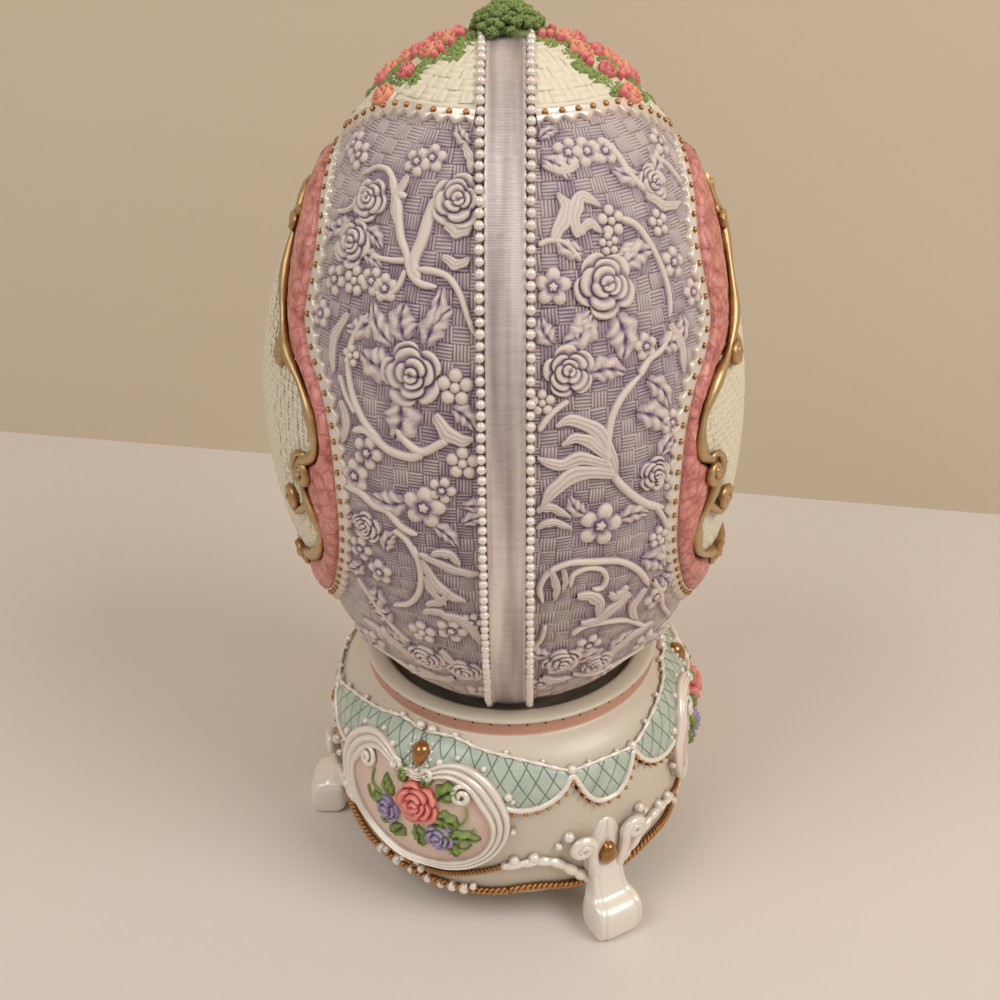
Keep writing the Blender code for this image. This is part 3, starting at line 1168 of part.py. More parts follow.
pinion = gear("cylinder_pinion", PINION_TEETH, PINION_PITCH, PINION_ADDENDUM, PINION_DEDENDUM, PINION_LENGTH,
              0.24, 0.0, BRASS)
combine(cylinder_arbor, along_x(pinion, PINION_X, 0.0, CYLINDER_Z, -math.pi / 2), "UNION")
along_x(gear("cylinder_end_gear", END_GEAR_TEETH, END_PITCH, GEAR_ADDENDUM, GEAR_DEDENDUM, GEAR_THICKNESS, 0.30,
             AXLE_RADIUS + SEAT, BRASS), END_GEAR_X, 0.0, CYLINDER_Z, 0.0)

# Governor: a shaft with a pinion and a worm wheel, and the upright worm with its air fly
governor_shaft = rod("governor_shaft", GOVERNOR_SHAFT_RADIUS, (GOVERNOR_FRAME_X, GOVERNOR_Y, CYLINDER_Z),
                     (OUTER_BRACKET_X + BRACKET_THICKNESS, GOVERNOR_Y, CYLINDER_Z), STEEL, 12)
combine(governor_shaft, along_x(gear("governor_pinion", GOVERNOR_PINION_TEETH, GOVERNOR_PITCH, GEAR_ADDENDUM,
                                     GEAR_DEDENDUM, GEAR_THICKNESS, 0.30, 0.0, BRASS), END_GEAR_X, GOVERNOR_Y,
                                CYLINDER_Z, math.pi / GOVERNOR_PINION_TEETH), "UNION")
worm_wheel = gear("worm_wheel", WORM_WHEEL_TEETH, WORM_WHEEL_RADIUS, WORM_WHEEL_ADDENDUM, WORM_WHEEL_DEDENDUM,
                  GEAR_THICKNESS, 0.20, GOVERNOR_SHAFT_RADIUS + SEAT, BRASS)
along_x(worm_wheel, WORM_X - GEAR_THICKNESS / 2, GOVERNOR_Y, CYLINDER_Z)

WORM_PITCH = 2 * math.pi * WORM_WHEEL_RADIUS / WORM_WHEEL_TEETH


def worm_thread():
    """A right-hand helical ridge; half a pitch off the wheel's middle tooth."""
    turns, per_turn = 2, 8
    inner, outer, half = WORM_CORE + 0.02 * MM, WORM_RADIUS + 0.12 * MM, 0.15 * MM

    def place(u, v):
        turn = 2 * math.pi * turns * v
        height = CYLINDER_Z + WORM_PITCH * (turns * (v - 0.5) - 0.25)
        corner = int(round(4 * u)) % 4
        radius = (inner, outer, outer, inner)[corner]
        rise = (-half, -half * 0.6, half * 0.6, half)[corner]
        return Vector((WORM_X + radius * math.cos(turn), WORM_Y + radius * math.sin(turn), height + rise))
    return add_object("worm_thread", closed_grid(4, turns * per_turn, place), STEEL, smooth=False)


worm = rod("worm", WORM_CORE, (WORM_X, WORM_Y, BED_TOP_Z + SEAT), (WORM_X, WORM_Y, FLY_BRIDGE_Z + 1.0 * MM),
           STEEL, 12)
combine(worm, worm_thread(), "UNION")
fly = block("air_fly", (WORM_X - FLY_WIDTH / 2, WORM_Y - 0.3 * MM, FLY_BOTTOM_Z),
            (WORM_X + FLY_WIDTH / 2, WORM_Y + 0.3 * MM, FLY_BOTTOM_Z + FLY_HEIGHT), BRASS)
combine(fly, rod("fly_collar", WORM_CORE + SEAT + 0.6 * MM, (WORM_X, WORM_Y, FLY_BOTTOM_Z),
                 (WORM_X, WORM_Y, FLY_BOTTOM_Z + FLY_HEIGHT), BRASS, 12), "UNION")
combine(fly, rod("fly_bore", WORM_CORE + SEAT, (WORM_X, WORM_Y, FLY_BOTTOM_Z - THROUGH),
                 (WORM_X, WORM_Y, FLY_BOTTOM_Z + FLY_HEIGHT + THROUGH), BRASS, 12), "DIFFERENCE")

# Bedplate casting with the comb's raised land
COMB_TIP_Y = -(CYLINDER_RADIUS + PIN_HEIGHT + COMB_TIP_GAP)
COMB_BACK_Y = COMB_TIP_Y - COMB_DEPTH
COMB_BOTTOM_Z = CYLINDER_Z - COMB_THICKNESS / 2
COMB_TOP_Z = COMB_BOTTOM_Z + COMB_THICKNESS
COMB_SCREW_Y = COMB_BACK_Y + 2.2 * MM
COMB_SCREWS_X = (CYLINDER_X + 2.5 * MM, CYLINDER_X + CYLINDER_LENGTH - 2.5 * MM)
BED_FRONT_Y = COMB_BACK_Y - 1.0 * MM


def bedplate():
    bm = bmesh.new()
    cut = 4.0 * MM
    outline = ((BED_LEFT_X + cut, BED_FRONT_Y), (BED_RIGHT_X - 5 * MM, BED_FRONT_Y),
               (BED_RIGHT_X, BED_FRONT_Y + 8 * MM), (BED_RIGHT_X, BED_BACK_Y - cut),
               (BED_RIGHT_X - cut, BED_BACK_Y), (BED_LEFT_X + cut, BED_BACK_Y),
               (BED_LEFT_X, BED_BACK_Y - cut), (BED_LEFT_X, BED_FRONT_Y + cut))
    face = bm.faces.new([bm.verts.new((x, y, BED_BOTTOM_Z)) for x, y in outline])
    grown = bmesh.ops.extrude_face_region(bm, geom=[face], use_keep_orig=True)
    bmesh.ops.translate(bm, verts=[item for item in grown["geom"] if isinstance(item, bmesh.types.BMVert)],
                        vec=(0, 0, BEDPLATE_THICKNESS))
    bmesh.ops.recalc_face_normals(bm, faces=bm.faces)
    made = add_object("bedplate", bm, ZINC, smooth=False)
    land = block("comb_land", (CYLINDER_X, COMB_BACK_Y, BED_TOP_Z - 0.5 * MM),
                 (CYLINDER_X + CYLINDER_LENGTH, COMB_BACK_Y + 4.5 * MM, COMB_BOTTOM_Z - SEAT), ZINC)
    combine(made, land, "UNION")
    for index, (x, y) in enumerate(MOVEMENT_SCREW_SPOTS):
        combine(made, rod("bed_hole_%d" % index, SCREW_RADIUS + SEAT, (x, y, BED_BOTTOM_Z - THROUGH),
                          (x, y, BED_TOP_Z + THROUGH), ZINC, 8), "DIFFERENCE")
    combine(made, rod("bed_key_hole", ARBOR_RADIUS + RUNNING, (0, 0, BED_BOTTOM_Z - THROUGH),
                      (0, 0, BED_TOP_Z + THROUGH), ZINC, 16), "DIFFERENCE")
    lug(made, "inner_lug", INNER_BRACKET_X, -BRACKET_MARGIN, BRACKET_MARGIN, ((0.0, AXLE_RADIUS),))
    lug(made, "outer_lug", OUTER_BRACKET_X, -BRACKET_MARGIN, GOVERNOR_Y + BRACKET_MARGIN,
        ((0.0, AXLE_RADIUS), (GOVERNOR_Y, GOVERNOR_SHAFT_RADIUS)))
    for index, x in enumerate(COMB_SCREWS_X):
        combine(made, rod("land_hole_%d" % index, COMB_SCREW_RADIUS + SEAT,
                          (x, COMB_SCREW_Y, COMB_BOTTOM_Z - COMB_SCREW_DEPTH - 2 * SEAT),
                          (x, COMB_SCREW_Y, COMB_BOTTOM_Z + THROUGH), ZINC, 8), "DIFFERENCE")
    return made


def lug(target, name, x, low_y, high_y, holes):
    """Adds an upright bearing plate with (y, radius) holes at the cylinder's height."""
    combine(target, block(name, (x, low_y, BED_TOP_Z - THROUGH), (x + BRACKET_THICKNESS, high_y, BRACKET_TOP_Z),
                          ZINC), "UNION")
    for index, (y, radius) in enumerate(holes):
        combine(target, rod("%s_hole_%d" % (name, index), radius + RUNNING, (x - SEAT, y, CYLINDER_Z),
                            (x + BRACKET_THICKNESS + SEAT, y, CYLINDER_Z), ZINC, 12), "DIFFERENCE")


bedplate()


def steel_comb():
    """A flat comb with one tooth for each note, its tips towards the cylinder."""
    width = 0.62 * NOTE_PITCH
    root_y = COMB_BACK_Y + 5.0 * MM
    left = CYLINDER_X + 0.2 * MM
    right = CYLINDER_X + CYLINDER_LENGTH - 0.2 * MM
    outline = [(left, COMB_BACK_Y), (right, COMB_BACK_Y), (right, root_y)]
    for note in reversed(range(NOTES)):
        middle = CYLINDER_X + NOTE_MARGIN + note * NOTE_PITCH
        outline += [(middle + width / 2, root_y), (middle + width / 2, COMB_TIP_Y),
                    (middle - width / 2, COMB_TIP_Y), (middle - width / 2, root_y)]
    outline.append((left, root_y))
    bm = bmesh.new()
    corners = [bm.verts.new((x, y, COMB_BOTTOM_Z)) for x, y in outline]
    rim = [bm.edges.new(pair) for pair in zip(corners, corners[1:] + corners[:1])]
    bmesh.ops.triangle_fill(bm, edges=rim, use_beauty=True)
    grown = bmesh.ops.extrude_face_region(bm, geom=bm.faces[:], use_keep_orig=True)
    bmesh.ops.translate(bm, verts=[item for item in grown["geom"] if isinstance(item, bmesh.types.BMVert)],
                        vec=(0, 0, COMB_THICKNESS))
    bmesh.ops.recalc_face_normals(bm, faces=bm.faces)
    made = add_object("steel_comb", bm, STEEL, smooth=False)
    for index, x in enumerate(COMB_SCREWS_X):
        combine(made, rod("comb_hole_%d" % index, COMB_SCREW_RADIUS + SEAT,
                          (x, COMB_SCREW_Y, COMB_BOTTOM_Z - THROUGH),
                          (x, COMB_SCREW_Y, COMB_TOP_Z + THROUGH), STEEL, 8), "DIFFERENCE")
    return made


steel_comb()

for index, x in enumerate(COMB_SCREWS_X):
    head = COMB_TOP_Z + SEAT
    comb_screw = turned("comb_screw_%d" % (index + 1), (
        (0.0, head + 0.8 * MM), (1.4 * MM, head + 0.6 * MM), (1.4 * MM, head), (COMB_SCREW_RADIUS, head),
        (COMB_SCREW_RADIUS, COMB_BOTTOM_Z - COMB_SCREW_DEPTH), (0.0, COMB_BOTTOM_Z - COMB_SCREW_DEPTH)), STEEL, 10)
    comb_screw.location = (x, COMB_SCREW_Y, 0.0)


# Governor frame: a plate beside the worm with a bridge over the fly
governor_frame = block("governor_frame", (GOVERNOR_FRAME_X, GOVERNOR_Y - 1.9 * MM, BED_TOP_Z + SEAT),
                       (GOVERNOR_FRAME_X + BRACKET_THICKNESS, WORM_Y + 3.6 * MM, FLY_BRIDGE_Z + BRACKET_THICKNESS),
                       ZINC)
combine(governor_frame, block("fly_bridge", (GOVERNOR_FRAME_X + 0.2 * MM, WORM_Y - 2.0 * MM, FLY_BRIDGE_Z),
                              (WORM_X + 2.4 * MM, WORM_Y + 2.0 * MM, FLY_BRIDGE_Z + BRACKET_THICKNESS), ZINC),
        "UNION")
combine(governor_frame, rod("governor_shaft_hole", GOVERNOR_SHAFT_RADIUS + RUNNING,
                            (GOVERNOR_FRAME_X - THROUGH, GOVERNOR_Y, CYLINDER_Z),
                            (GOVERNOR_FRAME_X + BRACKET_THICKNESS + THROUGH, GOVERNOR_Y, CYLINDER_Z), ZINC, 16),
        "DIFFERENCE")
combine(governor_frame, rod("fly_pivot_hole", WORM_CORE + RUNNING, (WORM_X, WORM_Y, FLY_BRIDGE_Z - THROUGH),
                            (WORM_X, WORM_Y, FLY_BRIDGE_Z + BRACKET_THICKNESS + THROUGH), ZINC, 16), "DIFFERENCE")
combine(governor_frame, rod("fly_sweep", FLY_WIDTH / 2 + END_PLAY, (WORM_X, WORM_Y, FLY_BOTTOM_Z - END_PLAY),
                            (WORM_X, WORM_Y, FLY_BOTTOM_Z + FLY_HEIGHT + END_PLAY), ZINC, 24), "DIFFERENCE")
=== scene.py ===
"""Pedestal egg music box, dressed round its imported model.

The sections follow the object as it is put together, from the movement in the base up to the flowers on
the egg's top. Lengths on the object are in millimetres until a mesh is placed, then in metres.
"""
import functools
import math
import random

import bmesh
import bpy
import numpy as np
from mathutils import Matrix, Vector
from mathutils.kdtree import KDTree


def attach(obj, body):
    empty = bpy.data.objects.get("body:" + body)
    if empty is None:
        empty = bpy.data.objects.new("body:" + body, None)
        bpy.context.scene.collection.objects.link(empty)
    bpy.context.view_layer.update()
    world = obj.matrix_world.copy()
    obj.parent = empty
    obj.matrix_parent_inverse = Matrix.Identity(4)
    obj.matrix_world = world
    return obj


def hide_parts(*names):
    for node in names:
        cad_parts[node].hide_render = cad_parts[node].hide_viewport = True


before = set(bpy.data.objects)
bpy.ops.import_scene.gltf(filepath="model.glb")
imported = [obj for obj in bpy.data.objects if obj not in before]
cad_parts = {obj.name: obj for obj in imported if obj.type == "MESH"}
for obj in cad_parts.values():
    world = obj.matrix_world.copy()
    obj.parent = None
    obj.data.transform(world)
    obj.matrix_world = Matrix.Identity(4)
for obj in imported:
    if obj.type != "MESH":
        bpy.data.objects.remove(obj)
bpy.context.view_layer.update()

# Movement and bottom cover
# A bought wind-up movement of brass, steel and cast zinc, screwed to a moulded cover. None of it shows in
# the photograph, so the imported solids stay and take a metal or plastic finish.


class Wire:
    """An output in a material's node tree. Sums and products of wires add Math nodes."""

    def __init__(self, tree, socket=None):
        self.tree, self.socket = tree, socket

    def node(self, kind, settings=None, sockets=None, output=0):
        """Adds a node of a kind, with its settings and the values or wires of its sockets."""
        made = self.tree.nodes.new("ShaderNode" + kind)
        for name, value in (settings or {}).items():
            if name == "stops":
                ramp = made.color_ramp
                while len(ramp.elements) < len(value):
                    ramp.elements.new(0.5)
                for stop, (place, colour) in zip(ramp.elements, value):
                    stop.position, stop.color = place, (*colour, 1.0)
            else:
                setattr(made, name, value)
        for name, value in (sockets or {}).items():
            if isinstance(value, Wire):
                self.tree.links.new(value.socket, made.inputs[name])
            else:
                made.inputs[name].default_value = value
        return Wire(self.tree, made.outputs[output])

    def sum_node(self, operation, first, second):
        return self.node("Math", {"operation": operation}, {0: first, 1: second})

    def __add__(self, other):
        return self.sum_node("ADD", self, other)

    def __radd__(self, other):
        return self.sum_node("ADD", other, self)

    def __sub__(self, other):
        return self.sum_node("SUBTRACT", self, other)

    def __rsub__(self, other):
        return self.sum_node("SUBTRACT", other, self)

    def __mul__(self, other):
        return self.sum_node("MULTIPLY", self, other)

    def __pow__(self, other):
        return self.sum_node("POWER", self, other)

    def clamped(self):
        return self.node("Clamp", None, {"Value": self})

    def noise(self, scale, detail=3.0, roughness=0.5, stretch=None):
        """Smooth noise about 0.5, its scale in features to the metre, on a wire of coordinates."""
        spot = self.node("Mapping", None, {"Vector": self, "Scale": stretch}) if stretch else self
        return spot.node("TexNoise", None, {"Vector": spot, "Scale": scale, "Detail": detail,
                                            "Roughness": roughness})

    def ramp(self, *stops):
        """A colour for each value, through stops of (place, linear colour)."""
        return self.node("ValToRGB", {"stops": stops}, {"Fac": self})

    def mixed(self, first, second):
        """The first colour where this wire is 0 and the second where it is 1."""
        return self.node("Mix", {"data_type": "RGBA"}, {0: self, 6: first, 7: second}, 2)


def linear(red, green, blue):
    """A colour given in screen values 0 to 255, as the linear numbers that a shader takes."""
    return tuple(c / 255 / 12.92 if c <= 10 else ((c / 255 + 0.055) / 1.055) ** 2.4
                 for c in (red, green, blue))


def new_finish(name, **constants):
    """A material, its shader with fixed values set, and a wire of object coordinates."""
    made = bpy.data.materials.new(name)
    made.use_nodes = True
    shader = made.node_tree.nodes["Principled BSDF"]
    for socket, value in constants.items():
        shader.inputs[socket.replace("_", " ")].default_value = value
    root = Wire(made.node_tree)
    return made, shader, root.node("TexCoord", None, None, "Object")


def feed(shader, **wires):
    """Links wires to a shader's sockets; bump is (height wire, depth in metres)."""
    for name, wire in wires.items():
        if name == "bump":
            height, depth = wire
            wire = height.node("Bump", None, {"Height": height, "Strength": 1.0, "Distance": depth})
            name = "Normal"
        wire.tree.links.new(wire.socket, shader.inputs[name.replace("_", " ")])


def metal_finish(name, colour, roughness):
    """Machined metal with faint brushing and dull patches."""
    made, shader, spot = new_finish(name, Metallic=1.0)
    patches = spot.noise(400.0)
    brushing = spot.noise(2500.0, 2.0, 0.5, (1.0, 1.0, 12.0))
    dark = tuple(c * 0.72 for c in colour)
    feed(shader, Base_Color=patches.mixed((*dark, 1.0), (*colour, 1.0)),
         Roughness=roughness + patches * 0.15 + brushing * 0.1, bump=(brushing, 0.00002))
    return made


def moulded_finish(name, colour, roughness):
    """Moulded plastic with a fine even grain."""
    made, shader, spot = new_finish(name)
    grain = spot.noise(3000.0)
    broad = spot.noise(60.0)
    feed(shader, Base_Color=broad.mixed((*(c * 0.93 for c in colour), 1.0), (*colour, 1.0)),
         Roughness=roughness + grain * 0.12, bump=(grain, 0.00003))
    return made


brass = metal_finish("movement_brass", (0.60, 0.40, 0.16), 0.26)
steel = metal_finish("movement_steel", (0.50, 0.49, 0.47), 0.28)
zinc = metal_finish("movement_zinc", (0.42, 0.42, 0.42), 0.48)
cover_plastic = moulded_finish("cover_plastic", linear(206, 196, 176), 0.42)
MOVEMENT_FINISHES = (
    (brass, ("barrel_wheel", "winding_key", "pinned_cylinder", "cylinder_end_gear", "worm_wheel", "air_fly",
             "egg_hub", "spindle_bushing")),
    (steel, ("spring_barrel", "mainspring", "spindle", "winding_arbor", "cylinder_arbor", "governor_shaft",
             "worm", "steel_comb", "comb_screw_1", "comb_screw_2", "cover_screw_1", "cover_screw_2",
             "cover_screw_3", "movement_screw_1", "movement_screw_2", "movement_screw_3")),
    (zinc, ("bedplate", "governor_frame")),
    (cover_plastic, ("bottom_cover",)),
)
for finish, nodes in MOVEMENT_FINISHES:
    for node in nodes:
        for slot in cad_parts[node].material_slots:
            slot.material = finish

# Base
# One hollow resin casting, turned in form: a rim round the egg, a cove with a pink band under it, and a
# full belly over a narrower foot. It is painted cream under a soft gloss.

MM = 0.001
SIDES = ((-1, "left"), (1, "right"))
random.seed(7)


def smooth_line(points, count):
    """Points along a smooth curve through control points of up to three numbers, shared evenly."""
    points = [Vector((*point, 0.0, 0.0)[:3]) for point in points]
    line = []
    for index in range(count):
        at = index / (count - 1) * (len(points) - 1)
        start = min(int(at), len(points) - 2)
        a, b = points[max(start - 1, 0)], points[start]
        c, d = points[start + 1], points[min(start + 2, len(points) - 1)]
        t = at - start
        line.append(0.5 * (2 * b + (c - a) * t + (2 * a - 5 * b + 4 * c - d) * t ** 2
                           + (3 * b - a - 3 * c + d) * t ** 3))
    return line


def add_piece(name, bm, finish, body, slot, *nodes, smooth_angle=None):
    """Makes a bmesh, in metres, a piece of the object that rides on a body and stands for CAD nodes."""
    mesh = bpy.data.meshes.new(name)
    bm.to_mesh(mesh)
    bm.free()
    mesh.shade_smooth()
    if smooth_angle:
        mesh.set_sharp_from_angle(angle=math.radians(smooth_angle))
    mesh.materials.append(finish)
    piece = bpy.data.objects.new(name, mesh)
    bpy.context.scene.collection.objects.link(piece)
    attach(piece, body)
    if nodes:
        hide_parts(*nodes)
    return piece


def turned_bmesh(profile, steps):
    """A closed profile of (radius, height) in millimetres turned about Z."""
    bm = bmesh.new()
    ring = [bm.verts.new((radius * MM, 0.0, height * MM)) for radius, height in profile]
    edges = [bm.edges.new(pair) for pair in zip(ring, ring[1:] + ring[:1])]
    bmesh.ops.spin(bm, geom=ring + edges, axis=(0, 0, 1), cent=(0, 0, 0), angle=2 * math.pi, steps=steps,
                   use_merge=True, use_duplicate=False)
    bmesh.ops.remove_doubles(bm, verts=bm.verts, dist=1e-6)
    bmesh.ops.recalc_face_normals(bm, faces=bm.faces)
    return bm


BELLY = ((31.2, 45.8), (33.4, 44.6), (35.6, 42.6), (37.3, 39.4), (38.3, 35.0), (38.8, 29.0), (38.4, 19.0),
         (37.3, 11.5), (36.6, 8.6))
belly_line = [(spot.x, spot.y) for spot in smooth_line(BELLY, 41)]
RIM = ((27.2, 49.1), (27.6, 49.7), (28.4, 50.0), (30.4, 50.0), (31.2, 49.85), (31.5, 49.55), (31.45, 49.2),
       (31.05, 49.05), (30.9, 48.8), (30.85, 47.8), (30.85, 46.8), (30.9, 46.2), (31.05, 45.95))
INSIDE = ((36.0, 8.45), (33.8, 8.6), (33.8, 30.5), (29.8, 34.5), (4.3, 34.5), (4.3, 38.0), (14.0, 38.2),
          (17.2, 40.4), (20.4, 42.6), (22.8, 44.4), (24.9, 46.1), (26.4, 47.8))
base_bm = turned_bmesh(list(RIM) + belly_line + list(INSIDE), 128)

cream_paint, shader, spot = new_finish("cream_paint", Coat_Weight=0.25, Coat_Roughness=0.22)
drift = spot.noise(70.0)
speckle = spot.noise(1400.0, 4.0, 0.6)
height = spot.node("SeparateXYZ", None, {"Vector": spot}, "Z")
# the pink band lies under the rim, down to the shoulder
BAND_MIDDLE, BAND_HALF_HEIGHT = 47.55, 1.62
in_cove = (1.0 - ((height - BAND_MIDDLE * MM) * (1.0 / (BAND_HALF_HEIGHT * MM))) ** 12.0).clamped()
cream = drift.mixed((*linear(206, 193, 170), 1.0), (*linear(216, 204, 184), 1.0))
feed(shader, Base_Color=(in_cove * (0.75 + speckle * 0.4)).mixed(cream, (*linear(196, 140, 118), 1.0)),
     Roughness=0.34 + speckle * 0.14, bump=(drift * 0.6 + speckle * 0.4, 0.00012))
add_piece("base_casting", base_bm, cream_paint, "base", "cream_resin", "base_body")


def meridian(profile):
    """Arc length, radius and height down the outside of a turned form, with its outward slope."""
    line = np.array(profile)
    step = np.gradient(line, axis=0)
    step /= np.linalg.norm(step, axis=1)[:, None]
    arc = np.concatenate([[0.0], np.cumsum(np.linalg.norm(np.diff(line, axis=0), axis=1))])
    return {"arc": arc, "radius": line[:, 0], "height": line[:, 1], "out": -step[:, 1], "up": step[:, 0]}


def on_form(form, arc):
    """Radius, height and outward slope of a turned form at an arc length, or several, down it."""
    return (np.interp(arc, form["arc"], form[key]) for key in ("radius", "height", "out", "up"))


def wrap(bm, form):
    """Lays a flat bmesh of (degrees round, arc down, lift) over a turned form."""
    flat = np.array([vert.co[:] for vert in bm.verts])
    turn, lift = np.radians(flat[:, 0]), flat[:, 2]
    radius, height, out, up = on_form(form, -flat[:, 1])
    radius = radius + out * lift
    places = np.stack([radius * np.sin(turn), -radius * np.cos(turn), height + up * lift], axis=1) * MM
    for vert, place in zip(bm.verts, places):
        vert.co = place
    return bm


def arc_at(form, height):
    """Arc length down a turned form at a height."""
    return float(np.interp(-height, -form["height"], form["arc"]))


def radius_at(form, arc):
    return float(np.interp(arc, form["arc"], form["radius"]))


def height_at(form, arc):
    return float(np.interp(arc, form["arc"], form["height"]))


base_form = meridian(belly_line)
scratch = bpy.data.meshes.new("scratch")


def flat_bmesh():
    """An empty bmesh that holds a crest level for each point, 0 in hollows to 1 on crests: how far the wash
    is rubbed off and, on the painted finishes, how far painted shade gives way to painted highlight.
    """
    bm = bmesh.new()
    bm.verts.layers.float.new("wiped")
    return bm


def patch(bm, columns, rows, place, merge=False):
    """Adds a grid whose points place(u, v) gives as (degrees, minus arc, lift, crest level)."""
    piece = flat_bmesh()
    wiped = piece.verts.layers.float["wiped"]
    bmesh.ops.create_grid(piece, x_segments=columns, y_segments=rows, size=0.5)
    for vert in piece.verts:
        *spot, vert[wiped] = place(vert.co.x + 0.5, vert.co.y + 0.5)
        vert.co = spot
    if merge:
        bmesh.ops.remove_doubles(piece, verts=piece.verts, dist=0.0005)
    piece.to_mesh(scratch)
    piece.free()
    bm.from_mesh(scratch)


def strip(bm, form, points, edges, section, along, across):
    """Adds a raised strip along points of (degrees, height). edges(t) gives its two sides' distances to
    the right of the line, and section(u, t) its lift and crest level for u from -1 to 1."""
    line = smooth_line([(degrees, -arc_at(form, height)) for degrees, height in points], along + 1)
    scale = [math.radians(radius_at(form, -spot.y)) for spot in line]
    sides = []
    for index, spot in enumerate(line):
        run = line[min(index + 1, along)] - line[max(index - 1, 0)]
        way = Vector((run.x * scale[index], run.y)).normalized()
        sides.append((way.y / scale[index], -way.x))

    def place(u, v):
        index = int(round(v * along))
        near, far = edges(index / along)
        wide = near + (far - near) * u
        lift, wiped = section(2 * u - 1, index / along)
        return (line[index].x + sides[index][0] * wide, line[index].y + sides[index][1] * wide, lift, wiped)
    patch(bm, across, along, place)


def disc(bm, form, degrees, height, outline, section, columns, rows):
    """Adds a raised disc; outline(turn) gives its radius and section(v, turn) its share, lift and crest
    level.
    """
    arc = arc_at(form, height)
    scale = math.radians(radius_at(form, arc))

    def place(u, v):
        turn = -2 * math.pi * u
        share, lift, wiped = section(v, turn)
        reach = outline(turn) * share
        return (degrees + reach * math.cos(turn) / scale, -arc + reach * math.sin(turn), lift, wiped)
    patch(bm, columns, rows, place, merge=True)


# Egg
# Two hollow cast resin shells joined on the plane under the ribbon. What shows of them is the thin line
# between the carved pieces and their foot in the cup, in shade, so the shells are plain and take a paler
# copy of the lavender wash: painted light that lifts that shade.

EGG_RADIUS, EGG_HALF_HEIGHT, EGG_MIDDLE = 43.0, 65.1, 105.7
FOOT_HOLE, SHELL_FLOOR = 6.0, 46.2


def egg_profile(turn):
    """Radius and height of the egg, in millimetres, from 0 at its top to pi at its foot."""
    radius = EGG_RADIUS * max(math.sin(turn), 0.0) ** 0.932 * math.exp(-0.065 * math.cos(turn))
    return radius, EGG_MIDDLE + EGG_HALF_HEIGHT * math.cos(turn)


egg_form = meridian([egg_profile(math.pi * (0.0004 + 0.9992 * index / 720)) for index in range(721)])


def egg_shell(side):
    """One half shell, closed on the seam's plane."""
    outer = [egg_profile(math.pi * index / 90) for index in range(91)]
    outer = [(max(radius - 0.25, 0.0), height) for radius, height in outer]
    outer = [(radius, height) for radius, height in outer if radius >= FOOT_HOLE or height > EGG_MIDDLE]
    inner = [(radius * 0.905, EGG_MIDDLE + (height - EGG_MIDDLE) * 0.93) for radius, height in outer[::3]]
    inner = [(radius, height) for radius, height in inner if height > SHELL_FLOOR]
    bm = bmesh.new()
    ring = [bm.verts.new((0.0, -radius * MM, height * MM)) for radius, height in
            outer + [(FOOT_HOLE, SHELL_FLOOR)] + inner[::-1]]
    face = bm.faces.new(ring)
    bmesh.ops.spin(bm, geom=[face] + list(face.edges) + ring, axis=(0, 0, 1), cent=(0, 0, 0),
                   angle=side * math.pi, steps=64, use_duplicate=False)
    bmesh.ops.remove_doubles(bm, verts=bm.verts, dist=1e-6)
    bmesh.ops.recalc_face_normals(bm, faces=bm.faces)
    bmesh.ops.translate(bm, verts=bm.verts, vec=(side * 0.15 * MM, 0.0, 0.0))
    return bm


def rubbed_finish(name, stops, scale, gain, spread, roughness, depth, metallic=None, **constants):
    """Colours from the hollows to the crests of a relief, broken up by wear: paint rubbed off the crests and,
    on the painted finishes, painted shade in the hollows and painted highlight on the crests.
    """
    made, shader, spot = new_finish(name, **constants)
    wiped = spot.node("Attribute", {"attribute_name": "wiped"}, None, "Fac")
    wear = spot.noise(scale, 4.0, 0.6)
    level = (wiped * gain + (wear - 0.5) * spread).clamped()
    feed(shader, Base_Color=level.ramp(*stops), Roughness=roughness + wear * 0.2, bump=(wear, depth))
    if metallic:
        feed(shader, Metallic=metallic + wear * 0.3)
    return made


def washed_finish(name, light, middle, dark):
    """Painted resin: a darker wash left in the hollows and rubbed off the crests."""
    made, shader, spot = new_finish(name)
    wiped = spot.node("Attribute", {"attribute_name": "wiped"}, None, "Fac")
    blotch = spot.noise(160.0, 4.0, 0.6)
    grain = spot.noise(2600.0, 3.0, 0.6)
    level = (wiped + (blotch - 0.5) * 0.34 + (grain - 0.5) * 0.22).clamped()
    feed(shader, Base_Color=level.ramp((0.0, dark), (0.36, middle), (0.78, light)),
         Roughness=0.62 + grain * 0.2, bump=(grain * 0.5 + blotch * 0.5, 0.00022))
    return made


LIGHT_WASH = linear(222, 206, 192)
lavender = washed_finish("lavender_wash", LIGHT_WASH, linear(170, 148, 154), linear(84, 58, 98))
# the shells' paler wash is painted light, lifting the shade where they show in the cup
shell_wash_painted_lighter = washed_finish("shell_wash_painted_lighter", LIGHT_WASH, linear(206, 190, 184), linear(180, 160, 160))
for side, side_name in SIDES[::-1]:
    add_piece("egg_shell_" + side_name, egg_shell(side), shell_wash_painted_lighter, "egg", "lavender_resin",
              "egg_%s_half" % side_name)

# Carved ground
# The shells are cast with a basketweave ground: square blocks of fine parallel ridges that change
# direction from block to block. The cream side panels and cap have the same weave.

